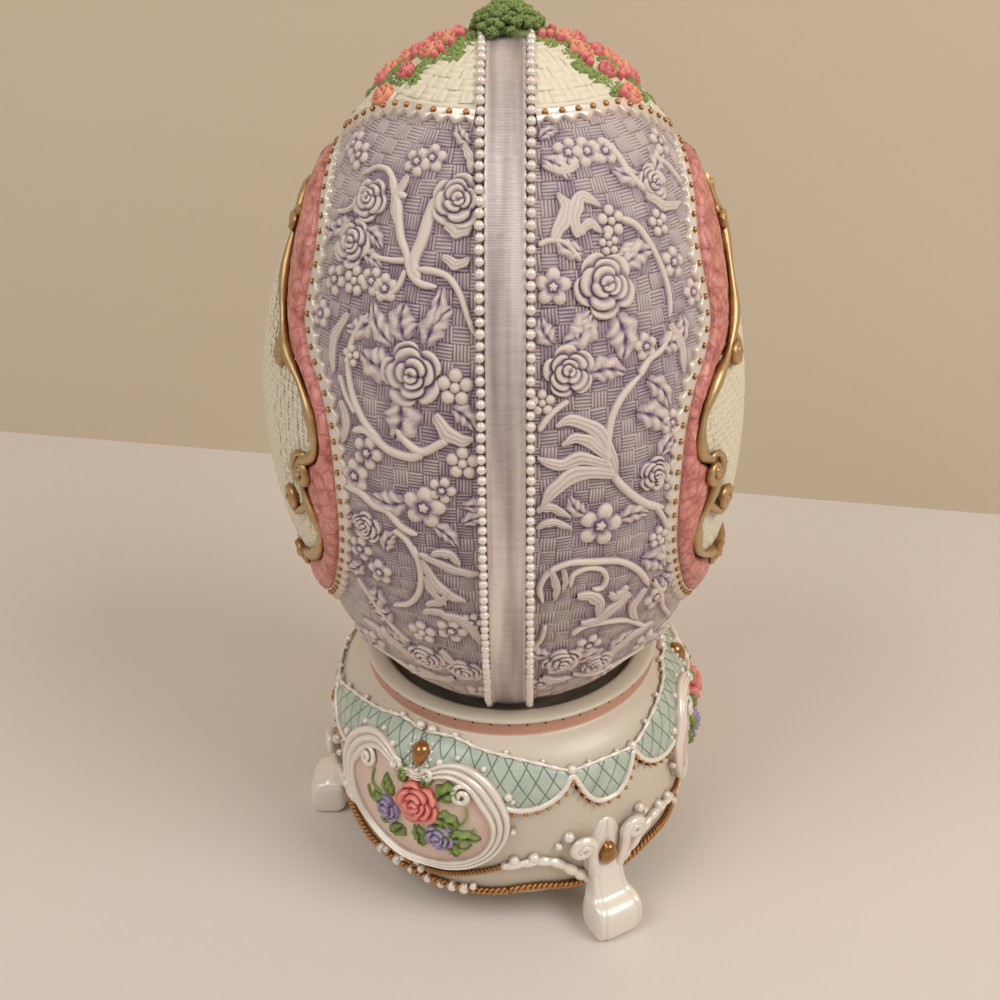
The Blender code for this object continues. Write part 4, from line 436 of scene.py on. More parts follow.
FRAME_OUTER = (
    (0, 152.2), (10, 150.8), (19, 147.5), (27, 143), (30.5, 138.5), (31.5, 133.5), (32.5, 129), (37, 124),
    (42.5, 119.5), (46.2, 113.5), (47.8, 106), (48, 98), (46.8, 91.5), (43.5, 85), (37, 78), (25, 71.5),
    (12, 68), (0, 66.8),
)
FRAME_INNER = (
    (0, 147), (6, 143.8), (11, 139.5), (15.5, 134.5), (20, 129.5), (24.5, 125.5), (29.5, 122.6), (36, 120),
    (41.5, 116), (44.2, 111.5), (43.5, 107), (38, 103.6), (37, 100.5), (39.5, 97), (42.6, 93.8), (42, 89.5),
    (37, 84.5), (24, 80), (0, 76.5),
)


@functools.lru_cache(None)
def half_line(outline):
    """Heights, negated so that they rise, and degrees from a side's middle, down its outline."""
    return np.array([(-spot.y, spot.x) for spot in smooth_line(outline, 120)]).T


def half_width_at(outline, height):
    """Degrees from a side's middle to its outline at a height, or -1 above and below it."""
    down, half = half_line(outline)
    return float(np.interp(-height, down, half)) if down[0] < -height < down[-1] else -1.0


LACE_HEIGHT, LACE_DIP, DIP_HALF_WIDTH = 162.6, 7.0, 40.5


def lace_line(degrees):
    """Height of the top lace at degrees from the front seam; it dips over the middle of a side."""
    return LACE_HEIGHT - LACE_DIP * max(0.0, 1.0 - abs(degrees - 90.0) / DIP_HALF_WIDTH) ** 1.5


def weave(bm, form, area, low, high, pitch, ridges, lift_at, relief):
    """Fills an area with woven blocks; area(degrees, height, mm per degree) says where it is."""
    arc, row = arc_at(form, high), 0
    while arc < arc_at(form, low):
        middle_arc = arc + pitch / 2
        middle = height_at(form, middle_arc)
        scale = math.radians(radius_at(form, middle_arc))
        column = 0
        while (column + 0.5) * pitch / scale < 180.0:
            degrees = (column + 0.5) * pitch / scale
            if area(degrees, middle, scale):
                across = (row + column) % 2 == 0
                tilt, rise = random.uniform(-0.07, 0.07), random.uniform(-0.06, 0.08)
                size = pitch * random.uniform(0.98, 1.08)
                lift = lift_at(degrees, middle) + rise

                def place(u, v):
                    line, end = int(round(u * 2 * ridges)), int(round(v * 3))
                    crest = line % 2
                    x, y = (u - 0.5) * size, ((0.0, 0.1, 0.9, 1.0)[end] - 0.5) * size
                    if across:
                        x, y = -y, x
                    x, y = x - tilt * y, y + tilt * x
                    at_end = end in (0, 3)
                    return (degrees + x / scale, y - middle_arc,
                            lift + (relief * crest if not at_end else -0.02 + 0.2 * relief * crest),
                            (0.78 if crest else 0.24) * (0.6 if at_end else 1.0))
                patch(bm, 2 * ridges, 3, place)
            column += 1
        arc, row = arc + pitch, row + 1


def on_lavender(degrees, height, scale):
    """Whether a point lies on the lavender ground between the pearls, the lace and the side frame."""
    from_seam = min(degrees, 180.0 - degrees) * scale
    from_frame = (abs(degrees - 90.0) - half_width_at(FRAME_OUTER, height)) * scale
    return from_seam > 3.4 and from_frame > 0.5 and height < lace_line(degrees) - 1.0


ground = {}
for side_name in ("right", "left"):
    bm = flat_bmesh()
    weave(bm, egg_form, on_lavender, 45.0, 162.0, 2.75, 5, lambda degrees, height: -0.12, 0.42)
    ground[side_name] = bm

# Carved flowers
# Roses, blossoms, leaves and acanthus scrolls stand proud of the ground, cast in one with the shells. The
# wash stays in their creases and at their feet, and their crests are wiped nearly white.


def leaf(bm, form, degrees, height, length, width, angle, lift=0.95, floor=-0.1):
    """A curved leaf with a toothed edge, a grooved midrib and side veins; angle 0 points right and 90 up."""
    arc = arc_at(form, height)
    scale = math.radians(radius_at(form, arc))
    way = Vector((math.cos(math.radians(angle)), math.sin(math.radians(angle))))
    points = []
    for share, aside in ((0.0, 0.0), (0.5, 0.12), (1.0, 0.0)):
        spot = way * length * share + Vector((-way.y, way.x)) * length * aside
        points.append((degrees + spot.x / scale, height_at(form, arc - spot.y)))

    def edges(t):
        wide = width / 2 * max(math.sin(math.pi * min(t ** 0.8, 1.0)), 0.04) ** 0.8
        wide *= 1.0 + 0.14 * math.sin(2 * math.pi * 3.5 * t)
        return -wide, wide

    def section(u, t):
        far = abs(u)
        rib = math.exp(-(u / 0.16) ** 2)
        vein = 0.5 + 0.5 * math.cos(2 * math.pi * (3.5 * t - 0.9 * far))
        body = (1.0 - far ** 4) * (0.55 + 0.45 * math.sin(math.pi * t))
        rise = lift * body * (1.0 - 0.45 * rib - 0.22 * vein * (1 - rib))
        return (rise if far < 0.99 else floor), (0.95 - 0.75 * rib - 0.45 * vein) * body + 0.05
    strip(bm, form, points, edges, section, 14, 8)


def stem(bm, form, points, start, end, lift=0.85, floor=-0.1):
    """A round stem that narrows from one half width to another."""
    def edges(t):
        wide = start + (end - start) * t
        wide *= min(1.0, 0.35 + 9 * (1 - t)) * min(1.0, 0.35 + 9 * t)
        return -wide, wide

    def section(u, t):
        if abs(u) > 0.99:
            return floor, 0.1
        return lift * math.sqrt(1 - u * u) * min(1.0, 0.5 + 6 * (1 - t)), 0.35 + 0.6 * math.sqrt(1 - u * u)
    strip(bm, form, points, edges, section, 24, 6)


def frond(bm, form, points, wide):
    """A curling acanthus leaf, grooved along its length."""
    def edges(t):
        reach = wide * max(math.sin(math.pi * (0.02 + 0.95 * t) ** 0.8), 0.05) ** 0.7
        return -reach, reach * (1.0 + 0.18 * math.sin(2 * math.pi * 3 * t))

    def section(u, t):
        far = abs(u)
        if far > 0.99:
            return -0.1, 0.08
        groove = math.exp(-((u - 0.3) / 0.14) ** 2) + math.exp(-((u + 0.3) / 0.14) ** 2)
        body = math.sqrt(1 - far ** 3)
        return 0.95 * body * (1 - 0.30 * groove), 0.25 + 0.7 * body - 0.55 * groove
    strip(bm, form, points, edges, section, 16, 10)


def rose(bm, form, degrees, height, size, turn=0.0, lift=1.6, floor=-0.1, base=0.0, columns=40,
         whorls=((0.22, 2), (0.46, 3), (0.74, 4), (1.0, 5))):
    """An open rose: whorls of overlapping petals with rolled lips, each higher than the next one out."""
    phase = math.radians(turn)
    last = 4 * len(whorls)

    def petal(ring, angle):
        """Reach of a whorl, scalloped by its petals, and how far along its petal an angle is."""
        edge, petals = whorls[ring]
        share = (petals * (angle - phase * (1 + ring) - 2.1 * ring) / (2 * math.pi)) % 1.0
        off_centre = 0.3 * (1.0 - edge) * math.cos(angle - phase * 2.0 - ring)
        return edge * (1.0 - 0.24 * abs(2 * share - 1) ** 3 - 0.06 * share + off_centre), share

    def section(v, angle):
        row = int(round(v * last))
        if row == last:
            return petal(len(whorls) - 1, angle)[0], floor, 0.05
        ring, step = divmod(row, 4)
        edge, share = petal(ring, angle)
        inner = petal(ring - 1, angle)[0] * 1.03 if ring else 0.0
        notch = math.exp(-(min(share, 1 - share) / 0.09) ** 2)
        top = lift * (1.0, 0.93, 0.78, 0.58)[ring + 4 - len(whorls)]
        root = top - lift * (0.40 if ring else 0.34)
        climb = (0.0, 0.62, 1.0, 0.9)[step]
        rise = root + (top - root) * climb + lift * (0.26 * (0.5 - share) - 0.22 * notch) * climb
        wiped = (0.0, 0.5, 1.0, 0.9)[step] - (0.6 * notch + 0.25 * share) * climb
        return inner + (edge - inner) * step / 3, base + rise, wiped
    disc(bm, form, degrees, height, lambda angle: size, section, columns, last)


def blossom(bm, form, degrees, height, size, turn):
    """A flat flower of five rounded petals round a button."""
    phase = math.radians(turn)
    rows = ((0.0, 1.05, 0.95), (0.18, 0.85, 0.7), (0.26, 0.42, 0.0), (0.55, 0.92, 0.85), (0.86, 0.72, 0.95),
            (1.0, 0.0, 0.2))

    def petal(angle):
        return abs(math.cos(2.5 * (angle - phase)))

    def section(v, angle):
        row = int(round(v * 5))
        share, rise, wiped = rows[row]
        lobe = petal(angle) ** 0.55 if row > 2 else 1.0
        return share, (0.95 * rise * (0.55 + 0.45 * lobe) if row < 5 else -0.1), wiped * (0.25 + 0.75 * lobe)
    disc(bm, form, degrees, height, lambda angle: size * (0.62 + 0.38 * petal(angle) ** 0.8), section, 30, 5)


def berry(bm, form, degrees, height, size, lift, floor=-0.1, base=0.0):
    """One round bead of a cluster."""
    rows = ((0.0, 1.0, 1.0), (0.5, 0.88, 0.95), (0.86, 0.55, 0.5), (1.0, 0.0, 0.05))

    def section(v, angle):
        share, rise, wiped = rows[int(round(v * 3))]
        return share, (base + lift * rise if share < 1 else floor), wiped
    disc(bm, form, degrees, height, lambda angle: size, section, 10, 3)


def berries(bm, form, degrees, height, size):
    """Five round petals about a middle one."""
    scale = math.radians(radius_at(form, arc_at(form, height)))
    for index in range(5):
        turn = math.radians(72 * index + 18)
        berry(bm, form, degrees + 0.62 * size * math.cos(turn) / scale, height + 0.62 * size * math.sin(turn),
              0.42 * size, 1.0)
    berry(bm, form, degrees, height, 0.32 * size, 1.1)


# each list is (degrees from the front seam, height, size ...); the right panel first, then the left one
ROSES = (
    (25, 138.8, 5.4, 20), (14.2, 127, 4.3, 70), (34.5, 107, 3.2, 10), (15, 68.5, 3.9, 0),
    (27.5, 65, 3.4, 40), (58, 62, 3.6, 15), (50, 151, 3.2, 30), (76, 59, 3.4, 75), (-21.6, 125.8, 5.5, 0),
    (-13.6, 151, 4.5, 30), (-43.2, 149.4, 3.7, 80), (-45, 142.9, 4.2, 10), (-33.5, 97, 3.1, 50),
    (-24, 67.5, 3.9, 30), (-12.6, 65.6, 3.6, 0), (-58, 61, 3.6, 15), (-76, 59, 3.4, 75),
)
BLOSSOMS = (
    (11.6, 139.4, 2.9, 10), (21, 99.8, 3.9, 0), (21.5, 157, 2.5, 0), (28.5, 156.9, 2.5, 30),
    (35.5, 156.6, 2.3, 10), (39.8, 115, 2.2, 0), (34, 128.6, 2.2, 20), (10, 61, 2.7, 0), (22, 72, 2.6, 0),
    (41, 79, 2.8, 40), (48, 139.5, 2.5, 0), (53, 134, 2.2, 20), (40, 104.5, 2, 0), (41, 90, 2.2, 0),
    (34, 59, 2.8, 10), (66, 155.5, 2.4, 0), (46, 65, 2.8, 0), (68, 56, 2.6, 0), (90, 62, 2.8, 0),
    (-18.3, 103.6, 3.7, 10), (-14, 107.3, 2.3, 0), (-35.4, 138.5, 2.3, 0), (-31, 137.9, 2.3, 30),
    (-30.3, 155.6, 2.3, 0), (-25, 156.3, 2.3, 20), (-32.5, 111.2, 2.9, 0), (-36.2, 106.2, 2.9, 30),
    (-36.6, 91.6, 2.5, 0), (-31.6, 87.8, 2.5, 20), (-14.2, 77.4, 2.9, 0), (-8.6, 80.4, 1.9, 0),
    (-48.5, 137, 2.5, 0), (-51.5, 131, 2.3, 20), (-37, 70, 2.8, 0), (-58, 154.5, 2.4, 0),
    (-66, 155.5, 2.4, 0), (-46, 65, 2.8, 0), (-68, 56, 2.6, 0), (-10, 57, 2.8, 0), (-34, 59, 2.8, 10),
)
BERRIES = (
    (30.2, 147.4, 2.5), (28, 144.4, 1.8), (7.9, 122.4, 2.2), (46.5, 145.6, 2.2), (37, 94, 2.2),
    (-11.2, 124.6, 3.1), (-9.3, 112.4, 2.9), (-41, 137.8, 2.5), (-22.6, 75.4, 2.9), (-38.5, 126.5, 1.9),
)
LEAVES = (
    (31, 141, 6, 4, 12), (21, 134.6, 5.6, 4.2, 215), (27, 134.4, 6.6, 5, 272), (20.6, 143.8, 4.6, 2.6, 150),
    (18.6, 126.2, 6, 3.6, 352), (10.8, 131.2, 4.2, 3, 112), (17, 131.2, 4.6, 3.2, 60),
    (30.2, 118.6, 7.6, 4, 322), (33.6, 123.4, 6.6, 3.2, 305), (38, 128, 5.2, 3.2, 345),
    (33, 90.4, 7, 4, 322), (25.6, 100.2, 5.4, 3, 355), (17.6, 102.4, 4.4, 2.4, 128),
    (12, 156.6, 4.8, 2.6, 315), (12, 159, 3.4, 1.8, 20), (19, 67, 5.4, 3.2, 20), (11.4, 70.6, 5.2, 3, 140),
    (30.6, 68, 5, 3.2, 45), (36, 109.6, 4.8, 2.8, 40), (41, 84, 5.2, 3, 300), (54, 152.4, 5, 2.8, 20),
    (46, 152.6, 5, 2.8, 160), (62, 63.4, 5.2, 3, 30), (53, 63.4, 5.2, 3, 150), (72, 60.4, 5.2, 3, 150),
    (81, 60.4, 5.2, 3, 30), (37, 144, 4.6, 2.4, 200), (47, 131.6, 4.6, 2.6, 250),
    (-26.6, 126.4, 5.8, 5, 168), (-24, 121.6, 6.4, 5.6, 262), (-23.8, 130.8, 5.2, 4.6, 98),
    (-18.6, 130.4, 6.8, 3.8, 58), (-27, 129.8, 7, 3.2, 128), (-33, 133, 5.6, 3.4, 205),
    (-11.8, 121.4, 4.6, 3, 318), (-22.6, 103.9, 6, 4, 182), (-9.8, 104.8, 5.6, 2.2, 350),
    (-9.8, 101.4, 5.2, 2.2, 16), (-16.4, 100.6, 5, 2.6, 318), (-33.6, 83.4, 6, 3.4, 240),
    (-31, 78.4, 5.6, 3.2, 205), (-15.6, 139.4, 7, 2.2, 248), (-12.6, 158.4, 3.8, 2, 130),
    (-16.8, 66, 5, 3, 160), (-28.6, 69.4, 5.4, 3.2, 140), (-37.6, 97.6, 5, 2.8, 190),
    (-47.6, 146, 5.4, 3, 200), (-41.4, 145.4, 4.2, 2.4, 330), (-40.4, 142, 4.2, 2.2, 340),
    (-53.6, 143.6, 4.8, 2.8, 170), (-37, 88, 4.8, 2.8, 210), (-53, 63.4, 5.2, 3, 30),
    (-62, 63.4, 5.2, 3, 150), (-72, 60.4, 5.2, 3, 30), (-81, 60.4, 5.2, 3, 150), (-29, 93, 4.8, 2.6, 60),
)
STEMS = (
    (((33, 147.6), (38, 146.2), (41.3, 143), (43.3, 139), (43.8, 135), (42.6, 131.8)), 0.8, 0.5),
    (((36, 158.2), (40, 155.8), (42, 153), (46, 150.4), (52, 147.6)), 0.9, 0.6), (((56, 154.4), (62, 152.6),
    (66, 149)), 0.7, 0.5), (((31.6, 124.4), (27, 122), (24, 119), (22.7, 115), (22.6, 111.5), (24.5, 108),
    (28.5, 104.4), (33, 101.5), (38, 99.6)), 0.7, 0.95), (((31.6, 124.4), (34.5, 126.4), (38.5, 127.4),
    (42.5, 129.8)), 0.8, 0.5), (((8.3, 85.3), (7.4, 88.5), (9.3, 91.6), (14, 93.2), (20, 92.6), (26, 91.6),
    (31, 89), (34.5, 86), (37, 83)), 0.7, 0.8), (((14.6, 88.2), (15.2, 90.6), (18.5, 91.5), (22, 90.6),
    (23.6, 88.4), (22.6, 86.4), (20.2, 86.6)), 0.65, 0.6), (((16.5, 76.2), (20, 77.7), (26, 77.3), (32, 76),
    (37, 73.5), (42, 70.5)), 0.75, 0.6), (((8.5, 145.3), (12, 145.8), (16, 145.2), (19.5, 142.6)),
    0.6, 0.5), (((7, 118), (10, 120.6), (13.8, 122.4)), 0.75, 0.5), (((6.2, 73), (8.5, 76), (9.2, 79.5)),
    0.7, 0.5), (((35, 101), (38.5, 97), (40, 93), (39.5, 88)), 0.7, 0.5), (((38, 84), (42, 80), (47, 74),
    (56, 68)), 0.7, 0.5), (((20, 63), (30, 60), (42, 61), (54, 60)), 0.7, 0.5), (((-50.5, 152.4),
    (-46, 153.8), (-41, 153.9), (-37.2, 152.8), (-34, 151.2), (-30.4, 150.9)), 0.5, 0.75), (((-37.6, 152.6),
    (-33, 150), (-31, 147.6), (-29, 145.2), (-26.4, 143.2), (-24.6, 140.8), (-21.5, 139.4), (-17, 139.2)),
    0.9, 0.7), (((-20.4, 151.2), (-21.8, 148.6), (-22.8, 145.5), (-24.2, 142.2), (-22, 139.8)), 1.3, 1.1),
    (((-37, 141.9), (-31, 142), (-26.5, 142.3)), 0.45, 0.7), (((-22.5, 141.4), (-17.5, 141.3), (-14, 140.6),
    (-11, 138.4), (-8.8, 135.2), (-7, 132.6)), 0.75, 0.5), (((-26, 141), (-27.5, 138.4), (-30.5, 136.6),
    (-33.8, 137.2)), 0.6, 0.5), (((-34.5, 133.8), (-37.5, 131), (-39.3, 127.4), (-38.8, 123.4),
    (-36.4, 119.4), (-33, 116.2), (-28.5, 113.9)), 0.55, 0.85), (((-41.5, 122.8), (-39, 119.8),
    (-36, 117.4)), 0.6, 0.6), (((-36.4, 114.4), (-33, 115), (-29, 113.6), (-26, 112.6), (-21, 112.3),
    (-18.2, 113.6)), 0.8, 1), (((-24.6, 116.6), (-22, 114.6), (-18.6, 113.5), (-15, 115), (-12.6, 116.2)),
    0.8, 0.9), (((-39.4, 103.6), (-35, 103.4), (-31, 101.8), (-27.5, 101.4), (-24, 99), (-20.2, 98)),
    1, 0.75), (((-29.2, 80.8), (-25, 82), (-22, 84.6), (-20.4, 88), (-20.2, 92), (-21.6, 95.6)), 0.6, 0.85),
    (((-26, 98), (-23, 96.6), (-20.6, 93)), 0.7, 0.7), (((-40, 84), (-36, 79), (-32, 74), (-28, 71)),
    0.6, 0.6), (((-20, 61), (-30, 59), (-42, 61), (-54, 60)), 0.7, 0.5), (((-56, 146.4), (-52, 147),
    (-48, 148.6)), 0.5, 0.6),
)
FRONDS = (
    (((24.2, 109.2), (22.8, 113.6), (19, 117.6), (14, 119.2), (10.8, 118.5)), 1.35), (((23.2, 111.5),
    (19, 114.8), (15.5, 116.2), (12, 115.3)), 1.15), (((23.2, 110.4), (17, 112.6), (11, 112), (6.6, 113.6)),
    1.25), (((24.4, 108.6), (18, 110.2), (13, 109.4), (9.5, 107), (7.5, 104.8)), 1.6), (((12.5, 145.8),
    (15, 147.6), (17.4, 150), (15.4, 152)), 1.3), (((19.4, 145.8), (19.6, 149.2), (23, 151.2),
    (27.6, 149.6)), 1.3), (((20, 146.2), (23.6, 147.6), (26.4, 146)), 0.9), (((6.4, 104.2), (9.4, 104.6),
    (14, 102.4)), 0.9), (((6.4, 101), (10, 101.8), (14.4, 100.2)), 0.8), (((16.4, 85.7), (20.5, 84.8),
    (22.8, 82.4), (22.4, 79.8)), 1.3), (((31, 83.4), (27, 80.8), (22, 78.4), (18.2, 79)), 1.4),
    (((30, 85.2), (27, 83.4), (24.6, 84.8)), 0.95), (((9.6, 92.6), (11.4, 88.4), (11, 85.6)), 0.8),
    (((12.6, 92.4), (13.4, 89.6), (12.8, 87.4)), 0.6), (((10, 64), (14, 61.6), (20, 62)), 1.2), (((30, 66),
    (36, 70), (44, 71.4)), 1.4), (((24, 155.3), (18, 154.8), (11.8, 155.6)), 0.8), (((45, 149.8),
    (52, 147.4), (60, 147)), 1), (((42, 131), (45, 127), (44.6, 122.6)), 1), (((36, 83), (33, 79),
    (36, 75)), 1.1), (((-15.5, 120.2), (-13.4, 117.6), (-10, 116.3), (-6.8, 116.6)), 1.4), (((-20, 94.4),
    (-14, 92.6), (-9, 91.6), (-6.2, 91.8)), 0.95), (((-19.6, 93.4), (-17, 88.8), (-13.4, 86.2),
    (-9.6, 85.4)), 1.15), (((-19, 90), (-17.8, 86.6), (-14.6, 84)), 0.9), (((-17, 94.8), (-13, 95.2),
    (-10.4, 93.2)), 0.95), (((-15.8, 81.4), (-11, 80.4), (-8.2, 77.6), (-7, 74.8)), 1.2), (((-21, 81),
    (-17, 81.8), (-14, 80.2)), 0.95), (((-18.6, 71.4), (-16.6, 68.4), (-14.6, 66)), 0.95), (((-19.8, 83.2),
    (-16, 84.4), (-13.4, 87.2)), 0.85), (((-16.4, 147.9), (-12.6, 146.9), (-8.9, 147.8)), 1.1),
    (((-16.2, 143.6), (-12.2, 142.5), (-8.9, 143.6)), 0.95), (((-30, 66), (-36, 70), (-44, 72)), 1.4),
    (((-17, 62), (-23, 60.2), (-30, 62)), 1.2), (((-14.6, 158.2), (-12, 156.8), (-10.6, 154.6)), 0.8),
    (((-31.6, 153.6), (-34, 150.4), (-31.4, 147)), 0.9), (((-40.6, 118.8), (-38.6, 115.4), (-39.6, 111.6)),
    1), (((-41, 133), (-45, 128), (-43.6, 122.8)), 1),
)

relief = {"right": flat_bmesh(), "left": flat_bmesh()}
for turned_by in (0.0, 180.0):
    for shapes, carve in (
            (STEMS, lambda bm, at, points, start, end: stem(bm, egg_form, at(points), start, end)),
            (FRONDS, lambda bm, at, points, wide: frond(bm, egg_form, at(points), wide)),
            (LEAVES, lambda bm, at, x, z, length, width, angle: leaf(
                bm, egg_form, *at(((x, z),))[0], length * 1.12, width * 1.3, angle)),
            (ROSES, lambda bm, at, x, z, *rest: rose(bm, egg_form, *at(((x, z),))[0], *rest)),
            (BLOSSOMS, lambda bm, at, x, z, size, turn: blossom(
                bm, egg_form, *at(((x, z),))[0], size * 1.12, turn)),
            (BERRIES, lambda bm, at, x, z, size: berries(bm, egg_form, *at(((x, z),))[0], size))):
        for shape in shapes:
            first = shape[0][0][0] if isinstance(shape[0], tuple) else shape[0]
            side_name = "right" if (first > 0) == (turned_by == 0.0) else "left"
            carve(relief[side_name], lambda points: [(x + turned_by, z) for x, z in points], *shape)


def laid_on_egg(bm, side):
    """Lays a flat bmesh made for the right side on the egg, mirrored for the left side."""
    wrap(bm, egg_form)
    if side < 0:
        bmesh.ops.scale(bm, vec=(-1, 1, 1), verts=bm.verts)
        bmesh.ops.reverse_faces(bm, faces=bm.faces)
    return bm


for side, side_name in SIDES[::-1]:
    carved = wrap(relief[side_name], egg_form)
    under = laid_on_egg(ground[side_name], side)
    tree = KDTree(len(carved.verts))
    for index, vert in enumerate(carved.verts):
        tree.insert(vert.co, index)
    tree.balance()
    wiped = under.verts.layers.float["wiped"]
    for vert in under.verts:
        near = tree.find(vert.co)[2] / MM
        vert[wiped] *= 1.0 - 0.6 * math.exp(-(near / 0.7) ** 2)
    add_piece("carved_flowers_" + side_name, carved, lavender, "egg", "lavender_resin")
    add_piece("woven_ground_" + side_name, under, lavender, "egg", "lavender_resin")

# Ribbon
# A satin ribbon laid over the seam, right over the egg, with fine cross ribs and raised woven edges.

# arc from the top of the egg to where the ribbon and the pearls end in the cup
TRIM_SPAN = arc_at(egg_form, 46.6)


def over_egg(profile, steps):
    """Sweeps a closed profile of (x, lift) over the egg in the seam's plane, from the foot to the back."""
    bm = bmesh.new()
    arcs = np.linspace(-TRIM_SPAN, TRIM_SPAN, steps + 1)
    radius, height, out, up = on_form(egg_form, np.abs(arcs))
    side = np.where(arcs < 0, -1.0, 1.0)
    bmesh.ops.create_grid(bm, x_segments=len(profile), y_segments=steps, size=0.5)
    for vert in bm.verts:
        x, lift = profile[int(round((vert.co.x + 0.5) * len(profile))) % len(profile)]
        at = int(round((vert.co.y + 0.5) * steps))
        drop = math.sqrt(max(radius[at] ** 2 - x ** 2, 0.0)) if radius[at] > abs(x) else 0.0
        vert.co = Vector((x, side[at] * (drop + out[at] * lift), height[at] + up[at] * lift)) * MM
    bmesh.ops.remove_doubles(bm, verts=bm.verts, dist=1e-6)
    bmesh.ops.holes_fill(bm, edges=[edge for edge in bm.edges if edge.is_boundary], sides=0)
    bmesh.ops.recalc_face_normals(bm, faces=bm.faces)
    return bm


RIBBON_SECTION = (
    (-3.2, 0.45), (-3.2, 0.95), (-2.95, 1.05), (-2.65, 0.96), (-1.2, 1), (0, 1.03), (1.2, 1), (2.65, 0.96),
    (2.95, 1.05), (3.2, 0.95), (3.2, 0.45), (0, 0.45),
)
ribbon_bm = over_egg(RIBBON_SECTION, 150)
satin, shader, spot = new_finish("satin", Sheen_Weight=0.3, Sheen_Roughness=0.35, Anisotropic=0.5,
                                 Specular_IOR_Level=0.75)
across = spot.node("SeparateXYZ", None, {"Vector": spot}, "X")
span = spot.node("SeparateXYZ", None, {"Vector": spot}, "Z")
threads = spot.noise(5200.0, 2.0, 0.5, (0.15, 1.0, 1.0))
ribs = span.node("Math", {"operation": "SINE"}, {0: span * 16000.0 + threads * 3.0})
slubs = spot.noise(900.0, 3.0, 0.6, (0.1, 1.0, 1.0))
edge = ((across.node("Math", {"operation": "ABSOLUTE"}, {0: across * 1000.0}) - 2.6) * 6.0).clamped()
# long lighter and darker streaks down the satin's length are painted sheen and painted shade
sheen_and_shade_streaks = spot.noise(330.0, 2.0, 0.4, (1.0, 0.07, 0.07))
ivory_with_painted_sheen = (sheen_and_shade_streaks * 0.8 + slubs * 0.1 + threads * 0.1).ramp(
    (0.36, linear(158, 138, 138)), (0.5, linear(200, 184, 178)), (0.62, linear(232, 220, 214)))
feed(shader, Base_Color=(edge * 0.5).mixed(ivory_with_painted_sheen, (*linear(232, 217, 206), 1.0)), Metallic=0.35 + slubs * 0.1,
     Roughness=0.27 + threads * 0.12 + edge * 0.12, bump=(ribs * 0.25 + threads * 0.5, 0.00003))
add_piece("satin_ribbon", ribbon_bm, satin, "egg", "satin_ribbon", "ribbon", smooth_angle=40)

# Pearl rows
# Two rows of pearls glued along the edges of the ribbon, over the egg and down its back.

PEARL_SIZE, PEARL_PITCH, PEARL_LINE = 1.6, 1.8, 3.95


def pearls_over_egg(side):
    """A row of pearls, each a little off the line and off the round."""
    bm = bmesh.new()
    count = int(2 * TRIM_SPAN / PEARL_PITCH)
    for index in range(count + 1):
        arc = -TRIM_SPAN + 2 * TRIM_SPAN * index / count
        radius, height, out, up = on_form(egg_form, abs(arc))
        lift = 0.45 + PEARL_SIZE / 2 + random.uniform(-0.06, 0.06)
        drop = math.sqrt(max(radius ** 2 - PEARL_LINE ** 2, 0.0))
        size = PEARL_SIZE * random.uniform(0.93, 1.05) / 2
        y, z = (drop + out * lift) * (-1 if arc < 0 else 1), height + up * lift
        x = side * (PEARL_LINE + random.uniform(-0.08, 0.08))
        stretch = Matrix.Diagonal((size * MM, size * MM, size * MM * random.uniform(0.95, 1.04), 1.0))
        bmesh.ops.create_uvsphere(bm, u_segments=12, v_segments=8, radius=1.0,
                                  matrix=Matrix.Translation(Vector((x, y, z)) * MM) @ stretch)
    return bm


def pearl_finish(name, pale, warm, roughness):
    """Pearl lustre: a pale coat over a colour that turns warmer in patches."""
    made, shader, spot = new_finish(name, Coat_Weight=0.6, Coat_Roughness=0.12, Specular_IOR_Level=0.6)
    patches = spot.noise(700.0, 3.0)
    fine = spot.noise(4000.0)
    feed(shader, Base_Color=patches.mixed((*warm, 1.0), (*pale, 1.0)), Roughness=roughness + fine * 0.1,
         Metallic=0.12 + patches * 0.12, bump=(fine, 0.00003))
    return made


pearl = pearl_finish("pearl", linear(246, 236, 226), linear(222, 204, 188), 0.2)
for side, side_name in SIDES:
    add_piece("pearls_" + side_name, pearls_over_egg(side), pearl, "egg", "pearl_paint",
              "pearl_row_" + side_name)

# Side frames
# Pink painted resin cartouches laid on the sides, mottled with a darker pink rubbed into their hammered
# face.


def side_outline(outline, count, inset=0.0, form=egg_form):
    """A closed line of (degrees from the middle, height) round a mirrored outline, drawn in by inset."""
    half = [(spot.x, spot.y) for spot in smooth_line(outline, count // 2 + 1)]
    line = np.array(half + [(-degrees, z) for degrees, z in half[-2:0:-1]])
    scale = np.radians(np.interp(-line[:, 1], -form["height"], form["radius"]))
    run = np.roll(line, -1, axis=0) - np.roll(line, 1, axis=0)
    run[:, 0] *= scale
    run /= np.linalg.norm(run, axis=1)[:, None]
    line[:, 0] += run[:, 1] * inset / scale
    line[:, 1] -= run[:, 0] * inset
    return line


def between_outlines(outer, inner, rows, lift_at, form=egg_form):
    """A flat closed slab between two outlines; lift_at(share, index) gives its face from outer to inner."""
    count = len(outer)
    bm = flat_bmesh()

    def place(u, v):
        index, row = int(round(u * count)) % count, int(round(v * (rows + 2)))
        share = min(max((row - 1) / rows, 0.0), 1.0)
        degrees, z = outer[index] + (inner[index] - outer[index]) * share
        lift, wiped = (0.15, 0.3) if row in (0, rows + 2) else lift_at(share, index)
        return degrees, -arc_at(form, z), lift, wiped
    patch(bm, count, rows + 2, place)
    return bm


def moved_round(bm, degrees):
    bmesh.ops.translate(bm, verts=bm.verts, vec=(degrees, 0.0, 0.0))
    return bm


